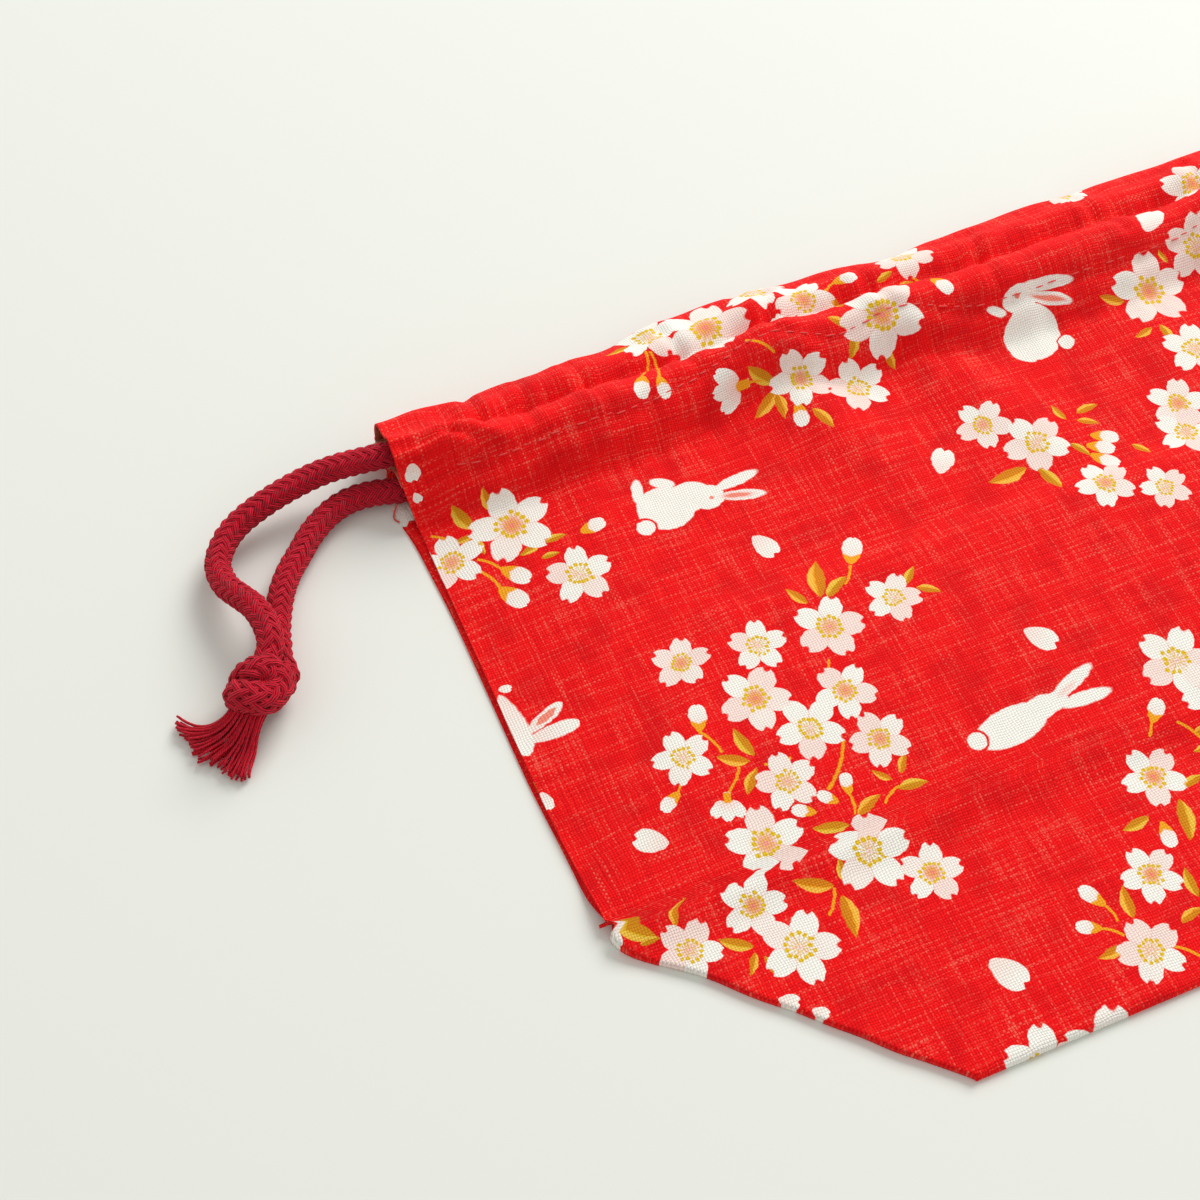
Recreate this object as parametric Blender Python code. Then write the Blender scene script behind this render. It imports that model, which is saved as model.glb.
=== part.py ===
"""Drawstring bag for a lunch box, lying closed on a table with its boxed bottom folded under.

Metres, +Z up. X runs along the mouth and Y from the folded bottom edge to the mouth. The origin
is the middle of the bag's outline, on the surface that the bag lies on. Each panel is one cut of
cloth: a flat grid is folded row by row into its layers, then given the cloth's thickness.
"""

import math

import bmesh
import bpy
from mathutils import Matrix, Vector

# Driving sizes of the bag
BAG_WIDTH = 0.280
BAG_HEIGHT = 0.185
GUSSET_DEPTH = 0.105
CASING_DEPTH = 0.027
SLIT_LENGTH = 0.0285
CLOTH = 0.0005
LAYER_GAP = 0.00035
SEAM_GAP = 0.0005
SEAM_INSET = 0.0012
CORNER_ROUNDING = 0.002
STEP_RUN = 0.008
SLIT_BULGE = 0.0024
HEM_STOP = 0.0185
EDGE_STRIPS = (0.0045, 0.0110)

# Driving sizes of the cord, its knot and its fringe
CORD_DIAMETER = 0.006
CORD_EASE = 0.0004
CORD_SIDES = 2
CORD_POINT_SPACING = 0.0105
FREE_POINT_SPACING = 0.0052
TURN_POINT_SPACING = 0.0036
KNOT_LENGTH = 0.0148
KNOT_WIDTH = 0.0152
KNOT_HEIGHT = 0.0126
FRINGE_LENGTH = 0.0130
FRINGE_NECK = 0.0060
FRINGE_THICKNESS = 0.0022
FRINGE_DROP = 0.0020
FRINGE_GAP = 0.0004
FRINGE_OPENING = math.radians(100)
FRINGE_BEND = math.radians(-34)

# How full the cloth lies: the casing, its open end, its closed one, and the air in the bag
CASING_FULLNESS = 0.0048
CASING_END_OPENING = 0.0048
CASING_END_RUN = 0.030
TURN_ROOM = 0.0042
TURN_RUN = 0.012
CASING_FADE = 0.020
BODY_AIR = 0.0016

# Rows of the folded grids, and the columns that share the middle evenly
CASING_ROWS = 12
FLAT_SHARES = (1.0, 0.66, 0.33, 0.0)
BELOW_HEM_SHARES = (0.90, 0.72, 0.38)
BASE_ROWS = 3
MIDDLE_COLUMNS = 22
FOLD_TURNS = (45, 0, -45)

# Where the gathers pull the mouth down and the hem's stitch line up: x, shift, half width
MOUTH_GATHERS = (
    (-0.140, -0.0030, 0.012),
    (-0.121, -0.0030, 0.006),
    (-0.104, -0.0020, 0.009),
    (-0.086, -0.0022, 0.008),
    (-0.014, -0.0014, 0.010),
    (0.060, -0.0008, 0.014),
    (0.112, -0.0014, 0.010),
)
STITCH_GATHERS = (
    (-0.140, 0.0046, 0.012),
    (-0.104, 0.0014, 0.020),
    (-0.072, 0.0030, 0.014),
    (-0.052, 0.0072, 0.014),
    (-0.022, 0.0046, 0.014),
    (0.066, 0.0020, 0.016),
    (0.108, 0.0038, 0.014),
)
# Soft folds of the front that run down from the casing: x, height, half width, slant, y of the foot
FRONT_FOLDS = (
    (-0.098, 0.0016, 0.010, 0.30, 0.020),
    (-0.052, 0.0038, 0.011, -0.35, 0.018),
    (-0.020, 0.0022, 0.010, -0.50, 0.000),
    (0.030, 0.0016, 0.016, -0.30, 0.010),
    (0.072, 0.0026, 0.012, 0.20, 0.015),
    (0.110, 0.0022, 0.011, 0.35, 0.020),
)

# The cord's route from the knot, through the front casing, round and back to the knot
UPPER_STRAND = (
    (-0.1791, 0.0415, 0.0093),
    (-0.1786, 0.0460, 0.0097),
    (-0.1794, 0.0512, 0.0093),
    (-0.1812, 0.0556, 0.0082),
    (-0.1832, 0.0610, 0.0064),
    (-0.1834, 0.0672, 0.0053),
    (-0.1808, 0.0722, 0.0052),
    (-0.1768, 0.0755, 0.0058),
    (-0.1714, 0.0776, 0.0067),
    (-0.1648, 0.0791, 0.0077),
    (-0.1580, 0.0799, 0.0086),
    (-0.1521, 0.0795, 0.0096),
    (-0.1463, 0.0787, 0.0101),
)
FRONT_RUN = (
    (-0.1400, 0.0782, 0.0100),
    (-0.1300, 0.0796, 0.0079),
    (-0.1180, 0.0806, 0.0066),
    (-0.1000, 0.0812, 0.0070),
    (-0.0740, 0.0824, 0.0063),
    (-0.0520, 0.0840, 0.0077),
    (-0.0340, 0.0838, 0.0064),
    (-0.0190, 0.0836, 0.0069),
    (0.0000, 0.0834, 0.0061),
    (0.0280, 0.0836, 0.0066),
    (0.0480, 0.0838, 0.0062),
    (0.0710, 0.0834, 0.0071),
    (0.0920, 0.0830, 0.0063),
    (0.1090, 0.0826, 0.0070),
    (0.1240, 0.0824, 0.0062),
)
TURN = (
    (0.1290, 0.0808, 0.0056),
    (0.1310, 0.0772, 0.0048),
    (0.1290, 0.0735, 0.0041),
)
BACK_RUN = (
    (0.1240, 0.0716, 0.0038),
    (0.1100, 0.0712, 0.0038),
    (0.0800, 0.0712, 0.0038),
    (0.0400, 0.0712, 0.0038),
    (0.0000, 0.0712, 0.0038),
    (-0.0400, 0.0722, 0.0038),
    (-0.0740, 0.0712, 0.0038),
    (-0.1000, 0.0700, 0.0038),
    (-0.1180, 0.0702, 0.0038),
    (-0.1300, 0.0712, 0.0038),
    (-0.1400, 0.0725, 0.0038),
)
LOWER_STRAND = (
    (-0.1463, 0.0742, 0.0036),
    (-0.1521, 0.0745, 0.0034),
    (-0.1574, 0.0727, 0.0033),
    (-0.1624, 0.0692, 0.0032),
    (-0.1661, 0.0653, 0.0032),
    (-0.1698, 0.0614, 0.0032),
    (-0.1728, 0.0569, 0.0032),
    (-0.1752, 0.0517, 0.0032),
    (-0.1769, 0.0468, 0.0032),
    (-0.1781, 0.0421, 0.0033),
)
KNOT_CENTRE = Vector((-0.1834, 0.0347, 0.0066))
KNOT_HEADING = Vector((-0.62, -0.78, 0.0)).normalized()

# Worked out from the driving sizes
SIDE = BAG_WIDTH / 2
MOUTH = BAG_HEIGHT / 2
GUSSET_LEG = GUSSET_DEPTH / 2
BOTTOM_FOLD = -MOUTH
BASE_SEAM = BOTTOM_FOLD + GUSSET_LEG
BASE_TOP = BASE_SEAM + GUSSET_LEG
SLIT_END = MOUTH - SLIT_LENGTH
PITCH = CLOTH + LAYER_GAP
FLOOR_LEVEL = CLOTH / 2
CORD_RADIUS = CORD_DIAMETER / 2
WRAP_RADIUS = CORD_RADIUS + CORD_EASE + CLOTH / 2
FRONT_SIDE = SIDE - SEAM_INSET
BLEND = 0.0006
SLOPE_STEP = 0.0004
MERGE_DISTANCE = 1e-6


def make_material(name, colour, roughness):
    """A plain principled finish."""
    material = bpy.data.materials.new(name)
    material.use_nodes = True
    shader = material.node_tree.nodes["Principled BSDF"]
    shader.inputs["Base Color"].default_value = (*colour, 1.0)
    shader.inputs["Roughness"].default_value = roughness
    shader.inputs["Metallic"].default_value = 0.0
    return material


def smooth_step(t):
    """0 below 0, 1 above 1, and an S-curve between."""
    t = min(max(t, 0.0), 1.0)
    return t * t * (3 - 2 * t)


def smooth_max(a, b):
    """The greater of two heights, with the crease between them rounded."""
    return (a + b + math.hypot(a - b, BLEND)) / 2


def smooth_min(a, b, rounding):
    """The lesser of two widths, with the corner between them rounded."""
    return (a + b) / 2 - math.hypot((a - b) / 2, rounding)


def bumps(x, places):
    """The sum of soft bumps, each given by its place, height and half width."""
    return sum(height * math.exp(-(((x - place) / width) ** 2)) for place, height, width in places)


def along_run(run, x):
    """Y and Z at x of a cord run whose points go from -X to +X."""
    x = min(max(x, run[0][0]), run[-1][0])
    for (x0, y0, z0), (x1, y1, z1) in zip(run, run[1:]):
        if x <= x1:
            t = (x - x0) / (x1 - x0)
            return y0 + (y1 - y0) * t, z0 + (z1 - z0) * t
    return run[-1][1:]


def smooth_route(points, spacing):
    """Points at an even spacing on a smooth curve through the given ones."""
    stops = [Vector(point) for point in points]
    stops = [2 * stops[0] - stops[1], *stops, 2 * stops[-1] - stops[-2]]
    fine = []
    for p0, p1, p2, p3 in zip(stops, stops[1:], stops[2:], stops[3:]):
        for step in range(12):
            t = step / 12
            fine.append(
                0.5
                * (
                    2 * p1
                    + (p2 - p0) * t
                    + (2 * p0 - 5 * p1 + 4 * p2 - p3) * t**2
                    + (3 * p1 - p0 - 3 * p2 + p3) * t**3
                )
            )
    fine.append(stops[-2])
    lengths = [0.0]
    for a, b in zip(fine, fine[1:]):
        lengths.append(lengths[-1] + (b - a).length)
    count = max(round(lengths[-1] / spacing), 2)
    route, at = [], 0
    for i in range(count + 1):
        want = lengths[-1] * i / count
        while at < len(fine) - 2 and lengths[at + 1] < want:
            at += 1
        share = (want - lengths[at]) / (lengths[at + 1] - lengths[at])
        route.append(fine[at].lerp(fine[at + 1], min(share, 1.0)))
    return route


FRONT_PATH = smooth_route([UPPER_STRAND[-1], *FRONT_RUN], CORD_POINT_SPACING)
BACK_PATH = smooth_route([*BACK_RUN, LOWER_STRAND[0]], CORD_POINT_SPACING)[::-1]


def mouth_line(x):
    """Y of the top fold's inner side, where the casing's two layers start."""
    return MOUTH - PITCH / 2 - CLOTH / 2 + bumps(x, MOUTH_GATHERS)


def stitch_line(x):
    """Y of the hem's free edge, on which the stitches lie."""
    return MOUTH - CASING_DEPTH + bumps(x, STITCH_GATHERS)


def air(x, y):
    """The room between the back and the front: the bag's own fullness and its soft folds."""
    top = stitch_line(x)
    edge = smooth_step((SIDE - abs(x)) / 0.030)
    down = smooth_step((MOUTH - y) / (MOUTH - top + 0.020)) * smooth_step((y - BASE_SEAM) / 0.030)
    height = BODY_AIR * edge * down
    for place, lift, width, slant, foot in FRONT_FOLDS:
        middle = place + slant * (y - top) if y < top else place
        fade = smooth_step((y - foot) / (top - foot)) * smooth_step((MOUTH - y) / CASING_FADE)
        height += lift * fade * math.exp(-(((x - middle) / width) ** 2))
    return height


def outside_base(x, y):
    """How far a point lies outside the folded base, across its nearest edge."""
    return max(y - BASE_TOP, (abs(x) + y - (SIDE + BASE_SEAM)) / math.sqrt(2))


def back_level(x, y):
    """Height of the back sheet: over the folded base it lies two layers up."""
    dropped = smooth_step((outside_base(x, y) - PITCH) / STEP_RUN)
    return FLOOR_LEVEL + 2 * PITCH * (1 - dropped)


def lifted(level, y):
    """A level raised by one layer, measured square to its slope along Y."""
    slope = (level(y + SLOPE_STEP) - level(y - SLOPE_STEP)) / (2 * SLOPE_STEP)
    return level(y) + PITCH * math.hypot(1, slope)


def over_cord(run, x, y):
    """Height of cloth that lies over the cord, as a parabola that clears its round."""
    centre, height = along_run(run, x)
    return height + WRAP_RADIUS - (y - centre) ** 2 / (2 * WRAP_RADIUS)


def oval(x, y):
    """Share of a casing's open height at y: round at the mouth and pinched at the stitches."""
    low, high = stitch_line(x), mouth_line(x)
    share = min(max((y - low) / (high - low), 0.0), 1.0)
    turn = math.acos(2 * share - 1)
    return math.sin(turn) * math.cos(turn / 2) / 0.77


def back_hem_level(x, y):
    """Height of the back casing's upper layer, which lies over the cord's lower run."""
    return smooth_max(FLOOR_LEVEL + PITCH, over_cord(BACK_PATH, x, y))


def front_hem_level(x, y):
    """Height of the front casing's lower layer, which lies on the back casing."""
    return lifted(lambda place: back_hem_level(x, place), y) + air(x, y)


def casing_room(x, y):
    """Room inside the front casing, which is more at its open left end and over the cord's turn."""
    opening = CASING_END_OPENING * (1 - smooth_step((x + SIDE) / CASING_END_RUN))
    turn = TURN_ROOM * smooth_step((x - (SIDE - HEM_STOP - TURN_RUN)) / TURN_RUN)
    closed = smooth_step((FRONT_SIDE - x) / EDGE_STRIPS[0])
    return (opening + (CASING_FULLNESS + turn) * closed) * oval(x, y)


def front_level(x, y):
    """Height of the front sheet, from the top fold to the line over the base seam."""
    low = stitch_line(x)
    if y >= low:
        over_hem = lifted(lambda place: front_hem_level(x, place), y)
        wrapped = smooth_max(over_hem, over_cord(FRONT_PATH, x, y))
        return smooth_max(wrapped, over_hem + casing_room(x, y))
    hem_step = front_level(x, low) - (back_level(x, low) + PITCH + air(x, low))
    fade = 1 - smooth_step((low - y) / STEP_RUN)
    return back_level(x, y) + PITCH + air(x, y) + hem_step * fade


def lower_front_level(y):
    """Height of the front below the base seam, where it steps down to lie on the base."""
    raised = smooth_step((y - (BASE_SEAM - STEP_RUN - PITCH)) / STEP_RUN)
    return FLOOR_LEVEL + PITCH + 2 * PITCH * raised


def width_at(y, side):
    """Half the bag's width at y: its sides, then the diagonal folds under the boxed corners."""
    diagonal = SIDE + (y - BASE_SEAM)
    return smooth_min(side, diagonal, CORNER_ROUNDING) if y < BASE_SEAM + GUSSET_LEG / 2 else side


def base_width_at(y):
    """Half the width of the folded base at y above its seam."""
    return smooth_min(SIDE, SIDE - (y - BASE_SEAM), CORNER_ROUNDING)


def columns():
    """Positions across the cloth from -1 to 1, with narrow strips at the sides."""
    inner = 1 - HEM_STOP / SIDE
    strips = [1.0, *(1 - strip / SIDE for strip in EDGE_STRIPS)]
    middle = [-inner + 2 * inner * i / MIDDLE_COLUMNS for i in range(MIDDLE_COLUMNS + 1)]
    return [*(-strip for strip in strips), *middle, *reversed(strips)]


def across(u, side):
    """X at a position across the cloth, with only the edge column at the panel's own side."""
    return math.copysign(min(abs(u) * SIDE, side), u)


def body_lines():
    """Y of the rows below the stitches that both panels share, closer where the back steps down."""
    step = [BASE_TOP + PITCH + STEP_RUN * share for share in (1.0, 0.5, 0.0)]
    low = BASE_SEAM + SEAM_GAP + CLOTH + PITCH
    return [*step, low + GUSSET_LEG * 0.6, low + GUSSET_LEG * 0.3, low + GUSSET_LEG * 0.13, low]


def casing_shares():
    """Positions across the casing, from 1 at the mouth to 0 at the stitches, closer at its ends."""
    steps = [i / CASING_ROWS for i in range(CASING_ROWS + 1)]
    return [0.6 * (1 - t) + 0.4 * (1 + math.cos(math.pi * t)) / 2 for t in steps]


def casing_y(x, share):
    """Y at a share of the way up the casing."""
    low = stitch_line(x)
    return low + (mouth_line(x) - low) * share


def casing_rows(side, inner, outer, outer_shares, edge=lambda u, y: 0.0):
    """Rows from the hem's free edge over the top fold to the stitches on the outer layer."""

    def on_layer(share, level):
        def place(u):
            x = across(u, side)
            y = casing_y(x, share)
            return x + edge(u, y), y, level(x, y)

        return place

    def on_fold(degrees):
        def place(u):
            x = across(u, side)
            y = mouth_line(x)
            low, high = sorted((inner(x, y), outer(x, y)))
            radius = (high - low) / 2
            turn = math.radians(degrees)
            return x + edge(u, y), y + radius * math.cos(turn), (low + high) / 2 + radius * math.sin(turn)

        return place

    upward = outer(0.0, MOUTH) > inner(0.0, MOUTH)
    turns = [-d if upward else d for d in FOLD_TURNS]
    rows = [on_layer(share, inner) for share in reversed(casing_shares())]
    rows += [on_fold(d) for d in turns]
    rows += [on_layer(share, outer) for share in outer_shares]
    return rows


def body_rows(side, level, edge=lambda u, y: 0.0):
    """Rows from below the stitches down to the base seam."""
    lines = body_lines()

    def near_hem(share):
        def place(u):
            x = across(u, side)
            y = lines[0] + (stitch_line(x) - lines[0]) * share
            return x + edge(u, y), y, level(x, y)

        return place

    def on_line(y):
        return lambda u: (across(u, side) + edge(u, y), y, level(across(u, side), y))

    return [near_hem(share) for share in BELOW_HEM_SHARES] + [on_line(y) for y in lines]


def fold_row(width, y, way, low, high, degrees):
    """One row of a fold across the bag, that turns from the low layer to the high one."""
    radius = (high - low) / 2
    turn = math.radians(degrees)
    place_y = y + way * radius * math.cos(turn)
    place_z = (low + high) / 2 + radius * math.sin(turn)
    return lambda u: (u * width, place_y, place_z)


def front_rows():
    """Rows of the front panel, and the pairs of rows that its diagonal folds join."""
    rows = casing_rows(FRONT_SIDE, front_hem_level, front_level, casing_shares())
    rows += body_rows(FRONT_SIDE, front_level)
    seam_width = width_at(BASE_SEAM, FRONT_SIDE)
    rows.append(lambda u: (u * seam_width, BASE_SEAM, front_level(u * seam_width, BASE_SEAM)))
    seam_row = len(rows) - 1
    low, high = FLOOR_LEVEL, FLOOR_LEVEL + PITCH
    inner = BOTTOM_FOLD + PITCH / 2 + CLOTH / 2
    heights = [BASE_SEAM + (inner - BASE_SEAM) * i / BASE_ROWS for i in range(1, BASE_ROWS + 1)]
    for y in heights:
        rows.append(lambda u, y=y: (u * width_at(y, FRONT_SIDE), y, lower_front_level(y)))
    last_upper = len(rows) - 1
    turned = [fold_row(width_at(inner, FRONT_SIDE), inner, -1, low, high, d) for d in FOLD_TURNS]
    rows += turned
    first_lower = len(rows)
    seam = BASE_SEAM - SEAM_GAP / 2
    for y in [*reversed(heights), seam]:
        rows.append(lambda u, y=y: (u * width_at(y, FRONT_SIDE), y, low))
    pairs = [(last_upper - i, first_lower + i) for i in range(BASE_ROWS + 1)]
    assert pairs[-1] == (seam_row, len(rows) - 1)
    return rows, pairs


def back_rows():
    """Rows of the back panel, and the pairs of rows that its diagonal folds join."""

    def slit_edge(u, y):
        out = SLIT_BULGE * math.exp(-(((y - (SLIT_END + 0.014)) / 0.012) ** 2))
        return -out * smooth_step((-u - 0.93) / 0.07)

    rows = casing_rows(SIDE, back_hem_level, back_level, FLAT_SHARES, slit_edge)
    base_low = FLOOR_LEVEL
    base_high = FLOOR_LEVEL + PITCH
    back_high = FLOOR_LEVEL + 2 * PITCH
    rows += body_rows(SIDE, back_level, slit_edge)
    near_seam = body_lines()[-1]
    rows += [fold_row(SIDE, near_seam, -1, base_high, back_high, d) for d in FOLD_TURNS]
    inner = BASE_TOP - PITCH / 2 - CLOTH / 2
    heights = [near_seam + (inner - near_seam) * i / BASE_ROWS for i in range(BASE_ROWS + 1)]
    first_upper = len(rows)
    for y in heights:
        rows.append(lambda u, y=y: (u * base_width_at(y), y, base_high))
    rows += [fold_row(base_width_at(inner), inner, 1, base_low, base_high, d) for d in FOLD_TURNS]
    first_lower = len(rows)
    for y in [*reversed(heights[1:]), BASE_SEAM + SEAM_GAP / 2]:
        rows.append(lambda u, y=y: (u * base_width_at(y), y, base_low))
    pairs = [(first_lower - len(FOLD_TURNS) - 1 - i, first_lower + i) for i in range(BASE_ROWS + 1)]
    assert pairs[-1] == (first_upper, len(rows) - 1)
    return rows, pairs


def fold_cloth(name, rows, pairs, material):
    """Folds a flat grid along its rows, joins its diagonal folds and gives it thickness."""
    places = columns()
    last_column, last_row = len(places) - 1, len(rows) - 1
    bm = bmesh.new()
    bmesh.ops.create_grid(bm, x_segments=last_column, y_segments=last_row, size=0.5)
    grid = {}
    for vert in bm.verts:
        column = round((vert.co.x + 0.5) * last_column)
        row = round((vert.co.y + 0.5) * last_row)
        grid[column, row] = vert
    for (column, row), vert in grid.items():
        vert.co = rows[row](places[column])
    hem_rows = CASING_ROWS + 1 + len(FOLD_TURNS) // 2
    hem_end = last_column - len(EDGE_STRIPS)
    past_stop = {grid[c, r] for c in range(hem_end - 1, last_column + 1) for r in range(hem_rows + 1)}
    cut_back = [face for face in bm.faces if past_stop.issuperset(face.verts)]
    bmesh.ops.delete(bm, geom=cut_back, context="FACES")
    for column in (0, last_column):
        rungs = [(grid[column, a], grid[column, b]) for a, b in pairs]
        for (a0, b0), (a1, b1) in zip(rungs, rungs[1:]):
            bm.faces.new((a0, a1, b1, b0))
        upper, lower = pairs[0]
        around = [grid[column, row] for row in range(min(upper, lower), max(upper, lower) + 1)]
        bm.faces.new(around)
    bmesh.ops.recalc_face_normals(bm, faces=bm.faces)
    mesh = bpy.data.meshes.new(name)
    bm.to_mesh(mesh)
    bm.free()
    panel = bpy.data.objects.new(name, mesh)
    bpy.context.collection.objects.link(panel)
    mesh.materials.append(material)
    mesh.shade_smooth()
    thickness = panel.modifiers.new("Cloth thickness", "SOLIDIFY")
    thickness.thickness = CLOTH
    thickness.offset = 0.0
    thickness.use_even_offset = True
    return panel


def build_drawstring(material):
    """One cord from the knot through both casings and back, as a round tube."""
    free_up = smooth_route(UPPER_STRAND, FREE_POINT_SPACING)
    turn = smooth_route([FRONT_RUN[-1], *TURN, BACK_RUN[0]], TURN_POINT_SPACING)
    free_low = smooth_route(LOWER_STRAND, FREE_POINT_SPACING)
    route = [*free_up[:-1], *FRONT_PATH, *turn[1:-1], *reversed(BACK_PATH), *free_low[1:]]
    curve = bpy.data.curves.new("drawstring", "CURVE")
    curve.dimensions = "3D"
    curve.bevel_depth = CORD_RADIUS
    curve.bevel_resolution = CORD_SIDES
    curve.use_fill_caps = True
    curve.materials.append(material)
    spline = curve.splines.new("POLY")
    spline.points.add(len(route) - 1)
    for point, place in zip(spline.points, route):
        point.co = (*place, 1.0)
    cord = bpy.data.objects.new("drawstring", curve)
    bpy.context.collection.objects.link(cord)
    return cord


def knot_frame(centre):
    """Turns +X along the knot's heading, with +Z kept up, and moves to the centre."""
    across = Vector((0, 0, 1)).cross(KNOT_HEADING)
    turned = Matrix((KNOT_HEADING, across, Vector((0, 0, 1)))).transposed().to_4x4()
    return Matrix.Translation(centre) @ turned


def add_mesh(name, bm, material):
    """Links a finished bmesh as a smooth-shaded object."""
    bmesh.ops.recalc_face_normals(bm, faces=bm.faces)
    mesh = bpy.data.meshes.new(name)
    bm.to_mesh(mesh)
    bm.free()
    mesh.materials.append(material)
    mesh.shade_smooth()
    obj = bpy.data.objects.new(name, mesh)
    bpy.context.collection.objects.link(obj)
    return obj


def build_knot(material):
    """The overhand knot: two turns of cord side by side that meet in a bend at the knot's right."""
    bm = bmesh.new()
    bmesh.ops.create_uvsphere(bm, u_segments=28, v_segments=18, radius=0.5)
    for vert in bm.verts:
        along, side, _ = vert.co * 2
        bend = smooth_step((side + 0.1) / 0.9)
        groove = math.exp(-(((along + 0.12 * side) / 0.17) ** 2)) * (1 - bend)
        vert.co *= 0.96 + 0.04 * math.cos(4 * math.pi * along) - 0.16 * groove
    bmesh.ops.scale(bm, vec=(KNOT_LENGTH, KNOT_WIDTH, KNOT_HEIGHT), verts=bm.verts)
    bmesh.ops.transform(bm, matrix=knot_frame(KNOT_CENTRE), verts=bm.verts)
    return add_mesh("knot", bm, material)


def fringe_place(t, turn, fullness):
    """A point on the frayed end, at a share of its length and an angle round it, in the knot's frame."""
    side = math.cos(turn) * (1 + 0.06 * t * math.cos(9 * turn))
    heading = (FRINGE_BEND + side * FRINGE_OPENING / 2) * t**0.6
    reach = FRINGE_LENGTH * t
    x = KNOT_LENGTH / 2 + FRINGE_GAP + reach * math.cos(heading)
    y = side * FRINGE_NECK / 2 * (1 - 0.3 * t) + reach * math.sin(heading)
    neck_height = FRINGE_NECK * 0.75
    thickness = neck_height + (FRINGE_THICKNESS - neck_height) * t
    clear = CORD_EASE / 2 + FRINGE_DROP * (1 - smooth_step(1.8 * t))
    return Vector((x, y, clear - KNOT_CENTRE.z + thickness / 2 * (1 + fullness * math.sin(turn))))


def build_tassel(material):
    """The frayed end below the knot: a flat fan of yarn that bends to the left and lies on the table."""
    sides, rings = 28, 8
    bm = bmesh.new()
    bmesh.ops.create_grid(bm, x_segments=sides, y_segments=rings, size=0.5)
    for vert in bm.verts:
        t = vert.co.y + 0.5
        vert.co = fringe_place(t, 2 * math.pi * (vert.co.x + 0.5), 1.0 if t < 1 - MERGE_DISTANCE else 0.0)
    bmesh.ops.remove_doubles(bm, verts=bm.verts, dist=MERGE_DISTANCE)
    bmesh.ops.holes_fill(bm, edges=[edge for edge in bm.edges if edge.is_boundary], sides=0)
    bmesh.ops.transform(bm, matrix=knot_frame(KNOT_CENTRE), verts=bm.verts)
    return add_mesh("tassel", bm, material)


def main():
    """Clears the scene and builds the bag."""
    for old in list(bpy.data.objects):
        bpy.data.objects.remove(old)
    cotton = make_material("printed cotton", (0.75, 0.02, 0.02), 0.85)
    reverse = make_material("printed cotton back", (0.62, 0.02, 0.02), 0.85)
    cord = make_material("crimson cord", (0.30, 0.008, 0.022), 0.8)
    fold_cloth("front_panel", *front_rows(), cotton)
    fold_cloth("back_panel", *back_rows(), reverse)
    build_drawstring(cord)
    build_knot(cord)
    build_tassel(cord)


main()
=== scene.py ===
"""Dresses the drawstring lunch bag in its printed cotton, its stitches and its braided cord.

Metres, +Z up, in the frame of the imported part: X runs along the mouth, Y from the folded bottom
edge to the mouth, and the bag lies on Z = 0. The cloth follows the same rules of lay as the part:
where its folds, gathers and cord ridges are, only on a finer grid.
"""

from __future__ import annotations

import logging
import math
from collections.abc import Callable, Sequence
from dataclasses import dataclass, field, replace
from enum import Enum
from functools import cache, cached_property, reduce
from itertools import accumulate

import bmesh
import bpy
from mathutils import Matrix, Vector
from mathutils.bvhtree import BVHTree
from mathutils.geometry import barycentric_transform
from mathutils.kdtree import KDTree
from mathutils.noise import noise

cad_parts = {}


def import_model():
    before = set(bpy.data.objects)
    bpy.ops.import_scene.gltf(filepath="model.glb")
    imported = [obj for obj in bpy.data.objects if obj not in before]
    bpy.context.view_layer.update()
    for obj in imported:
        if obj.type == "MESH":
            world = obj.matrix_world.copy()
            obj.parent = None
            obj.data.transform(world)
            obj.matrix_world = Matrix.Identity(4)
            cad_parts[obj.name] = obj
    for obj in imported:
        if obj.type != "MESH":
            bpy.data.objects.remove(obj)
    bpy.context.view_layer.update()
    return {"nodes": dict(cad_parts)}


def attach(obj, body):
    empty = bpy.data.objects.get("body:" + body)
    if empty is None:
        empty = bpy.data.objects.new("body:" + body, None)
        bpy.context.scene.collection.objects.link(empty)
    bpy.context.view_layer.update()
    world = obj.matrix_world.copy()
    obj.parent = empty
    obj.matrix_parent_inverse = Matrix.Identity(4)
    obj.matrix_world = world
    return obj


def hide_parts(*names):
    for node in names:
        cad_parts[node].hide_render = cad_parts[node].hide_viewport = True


LOG = logging.getLogger("lunch_bag")
Point = tuple[float, float, float]
Ink = tuple[float, float, float, float]

# The sockets of a colour Mix node, whose names are shared by its other kinds
MIX_COLOUR_A, MIX_COLOUR_B, MIX_COLOUR_OUT = 6, 7, 2

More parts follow.
